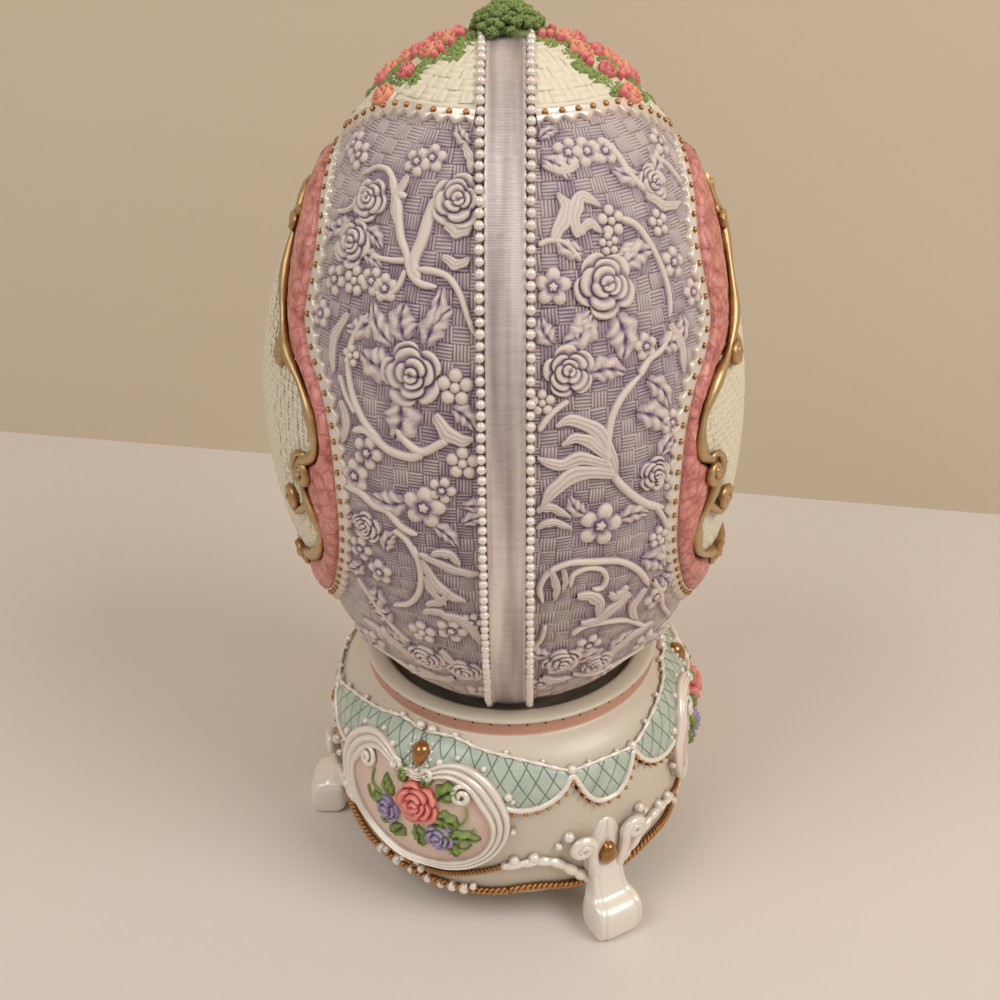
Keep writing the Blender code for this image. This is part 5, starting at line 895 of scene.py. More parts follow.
pink, shader, spot = new_finish("mottled_pink", Coat_Weight=0.3, Coat_Roughness=0.25)
mottle = spot.noise(420.0, 4.0, 0.65)
veins = spot.node("TexVoronoi", {"feature": "DISTANCE_TO_EDGE"}, {"Vector": spot, "Scale": 330.0}, "Distance")
crackle = (1.0 - veins * 9.0).clamped()
rosy = mottle.ramp((0.32, linear(160, 78, 72)), (0.5, linear(208, 130, 118)), (0.72, linear(228, 162, 148)))
feed(shader, Base_Color=(crackle * 0.55).mixed(rosy, (*linear(168, 82, 74), 1.0)),
     Roughness=0.36 + mottle * 0.2, bump=(mottle * 0.7 - crackle * 0.4, 0.0003))
outer, inner = side_outline(FRAME_OUTER, 160), side_outline(FRAME_INNER, 160)
for side, side_name in SIDES:
    face = between_outlines(outer, inner, 6, lambda share, index: (
        0.6 + 1.75 * math.sin(math.pi * (0.12 + 0.80 * share)) ** 0.5 + random.uniform(-0.12, 0.12), 0.6))
    add_piece("pink_frame_" + side_name, wrap(moved_round(face, side * 90.0), egg_form), pink, "egg",
              "pink_resin", "frame_" + side_name)

# Gold scrollwork
# A painted gold bead along the inner edge of each pink frame, with curls where its line turns in.


def thick_line(bm, spots, radii, sides=8, closed=False, form=egg_form):
    """Adds a round bar through points of (degrees, minus arc, lift), with a radius in millimetres at each."""
    if not closed:
        # the ends are closed by rings drawn in to nothing
        spots, radii = [spots[0], *spots, spots[-1]], [0.01, *radii, 0.01]
    scales = [math.radians(radius_at(form, -spot[1])) for spot in spots]
    flat = [Vector((spot[0] * scale, spot[1], spot[2])) for spot, scale in zip(spots, scales)]
    count = len(spots)
    steps = count if closed else count - 1

    def place(u, v):
        index = int(round(v * steps)) % count if closed else int(round(v * steps))
        after = flat[(index + 1) % count] if closed else flat[min(index + 1, count - 1)]
        before = flat[index - 1] if closed or index else flat[0]
        run = after - before
        way = Vector((run.x, run.y, 0.0)).normalized()
        turn = 2 * math.pi * u
        away = Vector((way.y, -way.x, 0.0)) * math.cos(turn) + Vector((0, 0, 1)) * math.sin(turn)
        at = flat[index] + away * radii[index]
        return at.x / scales[index], at.y, at.z, 0.35 + 0.65 * max(math.sin(turn), 0.0)
    patch(bm, sides, steps, place)


def spiral(side, degrees, low, scale, size, start, turn, shrink, lift, rise, steps):
    """Spots of a flat spiral about (degrees, minus arc), mirrored by side, that closes in by a share."""
    spots = []
    for step in range(steps):
        share = step / (steps - 1)
        angle = math.radians(start + turn * share)
        reach = size * (1.0 - shrink * share)
        spots.append((side * (degrees + reach * math.cos(angle) / scale), low + reach * math.sin(angle),
                      lift + rise * share))
    return spots


def gold_finish(name, bright, dark, pale=(0.55, 0.39, 0.2)):
    """Gold paint, rubbed dark in its hollows and bright on top, with a pale painted highlight on its highest
    crests.
    """
    return rubbed_finish(name, ((0.05, dark), (0.6, bright), (1.0, pale)), 500.0, 1.1, 0.7, 0.3, 0.00008, 0.6,
                         Coat_Weight=0.25, Coat_Roughness=0.2)


gold = gold_finish("gold_paint", linear(176, 126, 72), linear(86, 50, 24))
# each curl is (degrees from the side's middle, height, size, start angle, turn)
CURLS = ((37.5, 103.2, 3.3, 70, 500), (30.5, 95.2, 2.7, -80, -470), (25.2, 121.5, 2.5, 120, 460),
         (24.0, 81.0, 2.3, -60, -430), (11.0, 141.0, 2.2, 60, 430))
bead = [(degrees, -arc_at(egg_form, z), 1.9) for degrees, z in side_outline(FRAME_INNER, 128, 1.1)]
bead_radii = [1.0 + 0.30 * math.sin(index * 2 * math.pi * 14 / 128) for index in range(128)]
curl_radii = [0.55 + 0.35 * math.sin(math.pi * min(step / 24 * 1.2, 1.0)) + (0.35 if step > 21 else 0.0)
              for step in range(25)]
for side, side_name in SIDES:
    bm = flat_bmesh()
    thick_line(bm, bead, bead_radii, 8, True)
    for degrees, z, size, start, turn in CURLS:
        low = -arc_at(egg_form, z)
        scale = math.radians(radius_at(egg_form, -low))
        for mirror in (-1, 1):
            spots = spiral(mirror, degrees, low, scale, size, start, turn, 0.82, 2.3, 0.5, 25)
            # a neck joins the curl to the nearest part of the bead
            root = min(bead, key=lambda at: math.hypot((at[0] - spots[0][0]) * scale, at[1] - spots[0][1]))
            neck = [tuple(np.array(root) + (np.array(spots[0]) - root) * share) for share in (0.0, 0.35, 0.7)]
            thick_line(bm, neck + spots, [0.95, 0.85, 0.7] + curl_radii, 6)
            berry(bm, egg_form, mirror * degrees, z, 1.1, 1.2, 1.6, 2.4)
    add_piece("gold_scrolls_" + side_name, wrap(moved_round(bm, side * 90.0), egg_form), gold, "egg",
              "gold_paint", "scrollwork_" + side_name)

# Woven side panels
# Cream resin panels cast as a coarse basketweave inside the gold scrolls. The left one is domed and the
# right one nearly flat.

weave_paint = rubbed_finish(
    "woven_cream", ((0.0, linear(208, 192, 162)), (0.4, linear(226, 213, 186)), (1.0, linear(236, 225, 200))),
    220.0, 1.2, 0.5, 0.45, 0.00006, Coat_Weight=0.15, Coat_Roughness=0.3)
PANEL_BULGE = {"left": 2.6, "right": 0.5}


def panel_lift(degrees, height, side_name):
    """Lift of a woven side panel, domed across its middle."""
    reach = max(half_width_at(FRAME_INNER, height), 1.0)
    share = min(abs(degrees - 90.0) / reach, 1.0)
    up = min(max((height - 76.5) / 70.5, 0.0), 1.0)
    return 0.75 + PANEL_BULGE[side_name] * (1 - share ** 2) * math.sin(math.pi * up) ** 0.7


half = side_outline(FRAME_INNER, 96, 1.6)[:49]
for side, side_name in SIDES:
    bm = flat_bmesh()

    def bed(u, v):
        degrees, z = half[int(round((1 - v) * 48))]
        degrees = 90.0 + max(degrees, 0.0) * (2 * u - 1)
        return degrees, -arc_at(egg_form, z), panel_lift(degrees, z, side_name) + 0.15, 0.5
    patch(bm, 14, 48, bed)
    weave(bm, egg_form, lambda degrees, height, scale: (half_width_at(FRAME_INNER, height)
                                                        - abs(degrees - 90.0)) * scale > 2.0,
          77.0, 146.5, 1.45, 2, lambda degrees, height: panel_lift(degrees, height, side_name) + 0.2, 0.3)
    add_piece("woven_side_" + side_name, laid_on_egg(bm, side), weave_paint, "egg", "woven_cream_resin",
              "woven_panel_" + side_name)

# Lace
# Moulded edging round each lavender panel: a pearly band with pointed teeth on the side of the lavender and
# a row of gold dots.

LACE_PITCH = 2.75


def lace_along(line):
    """A toothed band and its dots along a line of (degrees, height), teeth to the right of its run."""
    spots = np.array([(degrees, -arc_at(egg_form, z)) for degrees, z in line])
    scale = np.radians(np.interp(-spots[:, 1], egg_form["arc"], egg_form["radius"]))
    run = np.gradient(spots, axis=0)
    run[:, 0] *= scale
    step = np.linalg.norm(run, axis=1)
    along = np.concatenate([[0.0], np.cumsum((step[1:] + step[:-1]) / 2)])
    total = along[-1]
    count = int(round(total / LACE_PITCH))
    band, dots = flat_bmesh(), flat_bmesh()
    columns = count * 6
    # across the band: distance to the right, lift and crest level
    rows = ((-0.95, 0.1, 0.2), (-0.95, 0.85, 0.5), (-0.7, 1.25, 1.0), (-0.35, 1.05, 0.7), (0.35, 0.95, 0.7),
            (0.6, 1.15, 1.0), (0.75, 0.85, 0.8), (0.8, 0.0, 0.1))

    def point(at):
        x = np.interp(at, along, spots[:, 0])
        y = np.interp(at, along, spots[:, 1])
        way = np.array([np.interp(at, along, run[:, 0]), np.interp(at, along, run[:, 1])])
        way /= max(np.linalg.norm(way), 1e-9)
        return x, y, way, np.interp(at, along, scale)

    def place(u, v):
        step_at = int(round(u * columns))
        aside, lift, wiped = rows[int(round(v * (len(rows) - 1)))]
        x, y, way, wide = point(total * step_at / columns)
        tooth = abs((step_at % 6) / 3 - 1)
        if aside > 0.5:
            aside += 1.15 * tooth
            lift *= 1.0 - 0.2 * tooth
        return x + way[1] * aside / wide, y - way[0] * aside, lift, wiped
    patch(band, columns, len(rows) - 1, place)
    for index in range(count):
        x, y, way, wide = point(total * (index + 0.5) / count)
        berry(dots, egg_form, x, height_at(egg_form, -y), 0.54, 0.6, 0.9, 0.95)
    return band, dots


lustre = pearl_finish("lace_pearl", linear(240, 228, 214), linear(212, 190, 170), 0.24)
old_gold = gold_finish("old_gold", linear(166, 112, 58), linear(84, 48, 22), linear(196, 146, 88))
line = side_outline(FRAME_OUTER, 180, -0.95)
line[:, 0] += 90.0
round_frame = np.concatenate([line, line[:1]])[::-1]
start = math.degrees(math.asin(4.6 / radius_at(egg_form, arc_at(egg_form, 161.8))))
under_cap = np.array([(turn, lace_line(turn) - 0.6) for turn in np.linspace(start, 180.0 - start, 90)])
for side, side_name in SIDES:
    band, dots = lace_along(round_frame)
    for whole, more in zip((band, dots), lace_along(under_cap)):
        more.to_mesh(scratch)
        more.free()
        whole.from_mesh(scratch)
    add_piece("lace_" + side_name, laid_on_egg(band, side), lustre, "egg", "pearl_paint", "lace_" + side_name)
    add_piece("lace_dots_" + side_name, laid_on_egg(dots, side), old_gold, "egg", "gold_paint")

# Cap
# The cream top of the egg, cast as a coarse basketweave, one half on each side of the ribbon.

CAP_TOP_ARC = arc_at(egg_form, 170.2)


def cap_bed(u, v):
    """The cap's ground, from the tuft down to the lace and out to the pearls."""
    seam = CAP_TOP_ARC + (arc_at(egg_form, lace_line(8.0)) - CAP_TOP_ARC) * v
    start = math.degrees(math.asin(min(4.3 / radius_at(egg_form, seam), 0.99)))
    degrees = start + (180.0 - 2 * start) * u
    low = arc_at(egg_form, lace_line(degrees) - 0.6)
    return degrees, -(CAP_TOP_ARC + (low - CAP_TOP_ARC) * v), 0.8, 0.5


for side, side_name in SIDES:
    bm = flat_bmesh()
    patch(bm, 60, 10, cap_bed)
    weave(bm, egg_form, lambda degrees, height, scale: (
        min(degrees, 180.0 - degrees) * scale > 5.2 and height > lace_line(degrees) + 0.1),
        155.0, 169.8, 2.35, 2, lambda degrees, height: 0.85, 0.28)
    add_piece("woven_cap_" + side_name, laid_on_egg(bm, side), weave_paint, "egg", "woven_cream_resin",
              "cap_panel_" + side_name)

# Rose garlands
# Painted resin roses, buds and leaves in a spray down each side of the cap.


def painted_finish(name, light, dark, roughness=0.42, scale=500.0):
    """Hand-painted resin, darker in the hollows as painted shade and lighter on the crests as painted
    highlight.
    """
    middle = tuple((a + b) / 2 for a, b in zip(light, dark))
    return rubbed_finish(name, ((0.05, dark), (0.45, middle), (0.95, light)), scale, 1.05, 0.6, roughness,
                         0.00006, Coat_Weight=0.2, Coat_Roughness=0.3)


# the garland finishes are lighter on the crests and darker in the hollows: painted highlight and painted
# shade
coral = painted_finish("coral_paint", linear(240, 164, 130), linear(192, 88, 66), 0.42, 220.0)
bud_pink = painted_finish("bud_pink", linear(232, 132, 128), linear(176, 56, 62), 0.42, 220.0)
green = painted_finish("leaf_green", linear(146, 164, 84), linear(34, 54, 12), 0.5, 260.0)
for side, side_name in SIDES:
    roses, buds, leaves = flat_bmesh(), flat_bmesh(), flat_bmesh()
    for index in range(9):
        z = height_at(egg_form, 9.6 + 1.75 * index)
        flower, size = (buds, 2.05 * 0.78) if index % 2 else (roses, 2.05)
        rose(flower, egg_form, 80.0 + 16.0 * math.sin(2.2 * index), z, size, 40 * index, 1.5, 0.6, 1.3, 24,
             ((0.3, 2), (0.62, 3), (1.0, 5)))
    for index in range(70):
        arc = random.uniform(6.5, 25.0)
        z = height_at(egg_form, arc)
        turn = 78.0 + random.uniform(-1.0, 1.0) * (52.0 - 1.4 * arc)
        leaf(leaves, egg_form, turn, z, random.uniform(2.6, 3.8), random.uniform(2.3, 3.0),
             random.uniform(0, 360), random.uniform(1.4, 2.0), 0.7)
        if index % 5 == 0:
            berry(buds, egg_form, turn, z, 0.75, 1.0, 0.5, 1.5)
    add_piece("garland_roses_" + side_name, laid_on_egg(roses, side), coral, "egg", "rose_resin",
              "rose_spray_" + side_name)
    add_piece("garland_buds_" + side_name, laid_on_egg(buds, side), bud_pink, "egg", "rose_resin")
    add_piece("garland_leaves_" + side_name, laid_on_egg(leaves, side), green, "egg", "leaf_green_resin")

# Foliage on top
# A tuft of modelled moss over the ribbon's middle, in lumps of many sizes, painted green.

tuft = flat_bmesh()
wiped = tuft.verts.layers.float["wiped"]
clumps = [((0.0, -0.6, 171.8), (5.6, 5.6, 3.7))]
for index in range(64):
    turn, reach = 2.4 * index, math.sqrt((index + 0.5) / 64)
    size = random.uniform(0.6, 1.15)
    clumps.append(((5.8 * reach * math.cos(turn), 6.4 * reach * math.sin(turn) - 0.8, 176.3 - 3.6 * reach ** 2
                    + random.uniform(-0.3, 0.35) - size * 0.5), (size * 1.15, size, size * 0.9)))
for (x, y, z), (wide, deep, tall) in clumps:
    clump = flat_bmesh()
    mark = clump.verts.layers.float["wiped"]
    bmesh.ops.create_icosphere(clump, subdivisions=3, radius=1.0)
    for vert in clump.verts:
        spot_at = vert.co * 4.2 + Vector((x, y, z))
        bump_at = math.sin(3.1 * spot_at.x + 1.3 * spot_at.y) * math.sin(2.7 * spot_at.y - 1.1 * spot_at.z)
        bump_at = 0.6 * bump_at + 0.4 * math.sin(5.3 * spot_at.z + 3.7 * spot_at.x)
        # each clump is lighter on its lumps and on its upper side: painted highlight, as of light from above
        vert[mark] = 0.42 + 0.6 * bump_at + 0.15 * vert.co.z
        out = vert.co * (1.0 + 0.3 * bump_at)
        vert.co = Vector((x + out.x * wide, y + out.y * deep, z + out.z * tall)) * MM
    clump.to_mesh(scratch)
    clump.free()
    tuft.from_mesh(scratch)
add_piece("apex_moss", tuft, green, "egg", "leaf_green_resin", "apex_foliage")

# Swags
# Aqua bands moulded over the shoulder of the base: a small scallop above each foot between two big ones that
# run up to the gems. Each is cut with a diamond lattice and edged with a pearly line and a white lip.

FEET = (("right_front", 30.0), ("right_back", 150.0), ("left", 270.0))
SWAG_TOP = (
    (0, 41), (5, 40.9), (10, 40.7), (13, 41), (17, 41.8), (22, 42.7), (28, 43.4), (34, 43.9), (41, 44.4),
    (47, 44.9), (52, 45), (60, 44.7),
)
SWAG_LOW = (
    (0, 32.9), (3, 33.2), (5.5, 34.4), (7.6, 36.3), (9.2, 38.4), (10.6, 40), (11.5, 39.9), (13.2, 38.2),
    (16, 36.4), (20, 34.9), (25, 34.2), (29, 34.4), (32, 35.3), (34.5, 37.6), (38, 39.6), (42, 41),
    (46, 40.8), (50, 40), (54, 39), (60, 37.7),
)
# millimetres to a degree on the base's shoulder and on its belly
SHOULDER_SCALE, BELLY_SCALE = math.radians(36.5), math.radians(38.0)


def three_round(name, bm, finish, slot, places, node=None):
    """Sets a shape made at azimuth 0 at three places round the base, each in place of its CAD node."""
    for place_name, azimuth in places:
        copy = bm.copy()
        bmesh.ops.rotate(copy, verts=copy.verts, cent=(0, 0, 0),
                         matrix=Matrix.Rotation(math.radians(azimuth), 3, "Z"))
        add_piece("%s_%s" % (name, place_name), copy, finish, "base", slot,
                  *(("%s_%s" % (node, place_name),) if node else ()))
    bm.free()


def height_along(points, count=240):
    """A function of the degrees from the middle, even on both sides, through points of (degrees, height)."""
    line = smooth_line(points, count)
    turns, heights = [spot.x for spot in line], [spot.y for spot in line]
    return lambda degrees: float(np.interp(abs(degrees), turns, heights))


def base_spots(points, lift, count):
    """Spots of (degrees, minus arc, lift) along a smooth line of (degrees, height) on the base."""
    return [(spot.x, -arc_at(base_form, spot.y), lift)
            for spot in smooth_line(points, count)]


def beads_along(bm, points, pitch, size, lift, floor=-0.1, base=0.0):
    """Round beads at an even pitch along a line of (degrees, height) on the base."""
    spots = np.array([(degrees, -arc_at(base_form, z)) for degrees, z in points])
    step = np.hypot(np.diff(spots[:, 0]) * SHOULDER_SCALE, np.diff(spots[:, 1]))
    along = np.concatenate([[0.0], np.cumsum(step)])
    count = max(int(along[-1] / pitch), 1)
    for index in range(count + 1):
        at = along[-1] * index / count
        degrees, low = np.interp(at, along, spots[:, 0]), np.interp(at, along, spots[:, 1])
        z = height_at(base_form, -low)
        berry(bm, base_form, float(degrees), z, size * random.uniform(0.9, 1.1), lift, floor, base)


swag_top, swag_low = height_along(SWAG_TOP), height_along(SWAG_LOW)
band, edging, dots = flat_bmesh(), flat_bmesh(), flat_bmesh()
# from the lower edge to the upper one: share of the way up and lift
SWAG_ROWS = ((0.0, -0.1), (0.0, 0.55), (0.06, 0.85), (0.25, 0.95), (0.5, 1.0), (0.75, 0.95), (0.95, 0.85),
             (1.0, 0.55), (1.0, -0.1))


def swag_spot(u, v):
    offset = 119.6 * (u - 0.5)
    share, lift = SWAG_ROWS[int(round(v * (len(SWAG_ROWS) - 1)))]
    low, high = swag_low(offset), swag_top(offset)
    return offset, -arc_at(base_form, low + (high - low) * share), lift, 0.9


patch(band, 240, len(SWAG_ROWS) - 1, swag_spot)
lip = [(offset, swag_low(offset) - 0.25) for offset in np.linspace(-33.0, 33.0, 133)]
thick_line(edging, [(degrees, -arc_at(base_form, z), 0.75) for degrees, z in lip], [0.62] * len(lip), 8,
           form=base_form)
run = np.gradient(np.array(lip), axis=0) * (SHOULDER_SCALE, 1.0)
run /= np.linalg.norm(run, axis=1)[:, None]
beads_along(dots, [(degrees + 0.78 * way[1] / SHOULDER_SCALE, z - 0.78 * way[0])
                   for (degrees, z), way in zip(lip, run)], 2.1, 0.46, 0.5, 0.0, 1.0)
crest = [(offset, swag_top(offset) + 0.1) for offset in np.linspace(-59.0, 59.0, 160)]
thick_line(edging, [(degrees, -arc_at(base_form, z), 0.85) for degrees, z in crest],
           [0.36 + 0.1 * math.sin(0.9 * index) for index in range(len(crest))], 8, form=base_form)
for side in (-1, 1):
    for degrees, z, size in ((10.9, 40.9, 1.05), (57.6, 45.2, 1.1), (49.0, 45.3, 0.75), (31.0, 44.2, 0.55),
                             (19.5, 42.9, 0.5), (5.0, 41.4, 0.45), (44.0, 44.9, 0.5), (29.0, 36.0, 0.6)):
        berry(edging, base_form, side * degrees, z, size, size * 0.95, 0.0, 0.75)

aqua, shader, spot = new_finish("aqua_lattice", Coat_Weight=0.3, Coat_Roughness=0.25)
east, north, height = (spot.node("SeparateXYZ", None, {"Vector": spot}, axis) for axis in "XYZ")
# millimetres round the base, at a radius that closes the lattice behind it
LATTICE_RADIUS = 36.24
round_it = east.node("Math", {"operation": "ARCTAN2"}, {0: east, 1: north * -1.0}) * LATTICE_RADIUS
climb = height * 620.0
cuts = []
for way in (1.0, -1.0):
    run = round_it + climb * way
    cuts.append((1.0 - run.node("Math", {"operation": "PINGPONG"}, {0: run, 1: 1.65}) * 5.5).clamped())
lines = cuts[0].node("Math", {"operation": "MAXIMUM"}, {0: cuts[0], 1: cuts[1]})
haze = spot.noise(260.0, 4.0, 0.6)
sea = haze.ramp((0.3, linear(166, 180, 162)), (0.55, linear(184, 195, 176)), (0.75, linear(202, 208, 188)))
feed(shader, Base_Color=(lines * 0.75).mixed(sea, (*linear(92, 112, 110), 1.0)),
     Roughness=0.34 + haze * 0.16, bump=(1.0 - lines, 0.00022))


shell_pearl, shader, spot = new_finish("shell_pearl", Coat_Weight=0.55, Coat_Roughness=0.14,
                                       Specular_IOR_Level=0.6)
wiped = spot.node("Attribute", {"attribute_name": "wiped"}, None, "Fac")
cloud = spot.noise(320.0, 4.0, 0.55)
fine = spot.noise(3600.0)
lustre_light, lustre_dark = linear(240, 229, 214), linear(150, 124, 102)
lustre_middle = tuple(0.35 * a + 0.65 * b for a, b in zip(lustre_dark, lustre_light))
feed(shader, Metallic=0.1 + cloud * 0.12, Roughness=0.26 + fine * 0.08 + cloud * 0.06, bump=(fine, 0.00003),
     Base_Color=(wiped * 1.1 + (cloud - 0.5) * 0.5).clamped().ramp(
         (0.0, lustre_dark), (0.35, lustre_middle), (0.9, lustre_light)))
three_round("swag", wrap(band, base_form), aqua, "aqua_resin", FEET, "swags")
three_round("swag_edging", wrap(edging, base_form), shell_pearl, "pearl_paint", FEET)
three_round("swag_dots", wrap(dots, base_form), old_gold, "gold_paint", FEET)

# Medallions
# Heart-shaped cartouches between the feet: a shell-ribbed pearly frame cast round a pale pink ground, with a
# drop-shaped gold gem at its dip and a painted bouquet.

MEDALLIONS = (("front", -30.0), ("right", 90.0), ("back", 210.0))
HEART_OUTER = (
    (0, 39.3), (3, 39.1), (6, 40.5), (10, 41.8), (14.5, 42.3), (19, 42), (23.5, 40.6), (27, 38.2),
    (29.4, 35), (30.4, 31.5), (29.4, 27), (26, 22.9), (20, 19.4), (12, 17), (5, 16), (0, 15.8),
)
HEART_INNER = (
    (0, 37.6), (2.6, 37.4), (5.4, 37.9), (9, 38.8), (13, 39.1), (16.6, 38.2), (19.4, 36.4), (21.4, 34.2),
    (23.8, 31.6), (24.6, 29), (23.8, 25.8), (21.2, 22.6), (16.6, 20.2), (10.4, 18.4), (4.5, 17.5),
    (0, 17.3),
)
HEART_MIDDLE = 27.0

outer, inner = (side_outline(half, 160, form=base_form) for half in (HEART_OUTER, HEART_INNER))


def frame_lift(share, index):
    """Three shell ribs side by side, the outer one highest."""
    rib = abs(math.sin(3 * math.pi * share)) ** 0.75
    swell = 1.0 + 0.12 * math.sin(2 * math.pi * index / 20)
    return 0.85 + (0.45 + 0.95 * rib) * (1.0 - 0.35 * share) * swell, 0.2 + 0.8 * rib


heart = between_outlines(outer, inner, 24, frame_lift, base_form)
for side in (-1, 1):
    # the ribs roll up into a scroll inside each lobe, and a smaller one turns back at the dip
    for degrees, z, size, start, turn, thick in ((16.5, 36.8, 2.2, 20, 560, 0.52),
                                                 (5.6, 39.0, 1.3, 200, -400, 0.45)):
        spots = spiral(side, degrees, -arc_at(base_form, z), BELLY_SCALE, size, start, turn, 0.85, 1.5, 0.7,
                       33)
        radii = [thick * (0.7 + 0.5 * math.sin(math.pi * step / 32)) for step in range(33)]
        thick_line(heart, spots, radii, 7, form=base_form)
    for degrees, z, size in ((8.6, 41.7, 0.8), (29.8, 37.2, 0.9), (22.4, 41.9, 0.7), (31.0, 29.0, 0.65),
                             (14.0, 42.9, 0.6)):
        berry(heart, base_form, side * degrees, z, size, size * 1.1, 0.3, 1.0)


def heart_ground(u, v):
    index = int(round(u * 80)) % 80 * 2
    degrees, z = inner[index][0] * 1.04 * v, HEART_MIDDLE + (inner[index][1] - HEART_MIDDLE) * 1.02 * v
    # the level falls from the domed middle to the edge: painted highlight in the middle, painted shade by the
    # frame
    return degrees, -arc_at(base_form, z), 0.95 + 0.55 * (1.0 - v * v), 0.4 + 0.6 * (1.0 - v ** 4)


ground_bm = flat_bmesh()
patch(ground_bm, 80, 8, heart_ground, merge=True)
gem_bm = flat_bmesh()
GEM_ROWS = ((0.0, 2.5, 1.0), (0.35, 2.35, 1.0), (0.65, 1.85, 0.75), (0.88, 1.2, 0.4), (1.0, 0.4, 0.1))


def drop(turn):
    """Reach of the gem's outline, 2 mm to the sides and above, drawn out to a point below."""
    return 2.0 + 1.1 * max(-math.sin(turn), 0.0) ** 6 + 0.25 * max(math.sin(turn), 0.0)


disc(gem_bm, base_form, 1.5, 42.3, drop, lambda v, turn: GEM_ROWS[int(round(v * 4))], 28, 4)
gem_gold, shader, spot = new_finish("gem_gold", Coat_Weight=0.8, Coat_Roughness=0.06, Roughness=0.22)
flecks = spot.noise(700.0, 3.0)
feed(shader, Base_Color=flecks.mixed((*linear(112, 66, 22), 1.0), (*linear(196, 136, 62), 1.0)),
     Metallic=0.45 + flecks * 0.3)
bead_bm = flat_bmesh()
beads_along(bead_bm, [(1.5 + 3.9 * math.sin(turn), 42.0 - 2.9 * math.cos(turn)) for turn in
                      np.linspace(-2.2, 2.2, 24)], 1.25, 0.42, 0.5, 0.2, 0.9)

# the pink ground is lighter on its crest and darker at its edge: painted highlight and painted shade
ground_pink = painted_finish("ground_pink", linear(224, 200, 180), linear(200, 150, 132), 0.3, 300.0)
three_round("medallion_ground", wrap(ground_bm, base_form), ground_pink, "pink_resin", MEDALLIONS)
three_round("medallion_frame", wrap(heart, base_form), shell_pearl, "pearl_paint", MEDALLIONS, "medallion")
three_round("medallion_gem", wrap(gem_bm, base_form), gem_gold, "gold_paint", MEDALLIONS)
three_round("gem_beads", wrap(bead_bm, base_form), shell_pearl, "pearl_paint", MEDALLIONS)

# Bouquets
# A painted rose, two violets and their leaves, cast on each medallion's ground, with thin trailing stems.

roses, violets, leaves = flat_bmesh(), flat_bmesh(), flat_bmesh()
for degrees, z, length, width, angle in (
        (9, 34.6, 5.2, 3.6, 35), (8.6, 31, 4.8, 3.4, 340), (-2, 25, 4.6, 3.2, 215), (2, 27, 5.4, 3.6, 280),
        (12.4, 26, 6, 3, 8), (11.6, 25, 4.2, 2.6, 300), (-5, 31.6, 4.6, 2.4, 118), (-1.6, 36, 3.2, 1.8, 100),
        (-7.6, 27, 3.8, 2.4, 240), (5, 36.6, 3, 1.8, 60), (7.6, 28.4, 4.6, 2.6, 320),
        (-8, 29.6, 3.4, 2, 170)):
    leaf(leaves, base_form, degrees, z, length * 1.1, width * 1.25, angle, 3.1, 0.6)
for points, start, end in (
        (((12.0, 30.0), (15.6, 29.6), (17.8, 31.6), (17.8, 34.4)), 0.34, 0.2),
        (((15.0, 27.4), (18.4, 27.6), (20.4, 29.6)), 0.3, 0.18),
        (((-8.0, 31.0), (-13.6, 31.6), (-13.6, 35.4)), 0.3, 0.18),
        (((-9.0, 27.0), (-14.4, 27.8), (-16.0, 30.6)), 0.3, 0.18),
        (((13.0, 23.8), (17.0, 23.4), (19.4, 25.2)), 0.3, 0.18)):
    stem(leaves, base_form, points, start, end, 2.0, 0.8)
rose(roses, base_form, 3.2, 32.8, 4.7, 20, 3.0, 0.8, 1.2, 56)
for degrees, z, size, turn in ((-7.4, 28.0, 3.1, 10), (9.8, 25.8, 3.1, 50)):
    rose(violets, base_form, degrees, z, size, turn, 2.4, 0.8, 1.2, 36, ((0.34, 2), (0.68, 4), (1.0, 5)))
berry(violets, base_form, -8.6, 31.4, 0.9, 1.0, 0.8, 1.1)
berry(violets, base_form, 12.6, 28.4, 0.9, 1.0, 0.8, 1.1)
# the bouquet paints are lighter on the crests and darker in the hollows: painted highlight and painted shade
rose_paint = painted_finish("rose_paint", linear(242, 150, 134), linear(190, 70, 64))
violet_paint = painted_finish("violet_paint", linear(176, 158, 188), linear(92, 70, 112))
three_round("bouquet_rose", wrap(roses, base_form), rose_paint, "rose_resin", MEDALLIONS, "bouquet")
three_round("bouquet_violets", wrap(violets, base_form), violet_paint, "lavender_resin", MEDALLIONS)
three_round("bouquet_leaves", wrap(leaves, base_form), green, "leaf_green_resin", MEDALLIONS)

# Feet
# Three cast feet: a pad rolled under at its end, an ankle, and a leaf that spreads up the base between two
# scrolls, with a gold oval in its middle. Pearly arms run from each towards the medallions.

# level sections of a foot, as (height, nearest and farthest from the middle of the base, half width)
FOOT_SECTIONS = (
    (0, 40.4, 45, 4.7), (0.25, 39.5, 46, 5.1), (1.2, 38.7, 46.8, 5.4), (3, 38.3, 47.1, 5.5),
    (5, 38.2, 47, 5.5), (6.6, 38.3, 46.7, 5.4), (7.6, 38.4, 46, 5.2), (8.2, 38.3, 45, 4.9),
    (8.6, 38, 43.6, 4.5), (9.4, 37.4, 42.7, 4.1), (11.4, 37.2, 41.9, 3.8), (13.6, 37.4, 41.2, 3.6),
    (15.6, 37.8, 40.4, 3.2), (17, 38, 39.4, 2.6),
)
foot_bm = flat_bmesh()
wiped = foot_bm.verts.layers.float["wiped"]
LEVELS = 52
foot_line = smooth_line([section[:3] for section in FOOT_SECTIONS], LEVELS + 1)
foot_widths = smooth_line([section[3:] for section in FOOT_SECTIONS], LEVELS + 1)
bmesh.ops.create_grid(foot_bm, x_segments=56, y_segments=LEVELS, size=0.5)
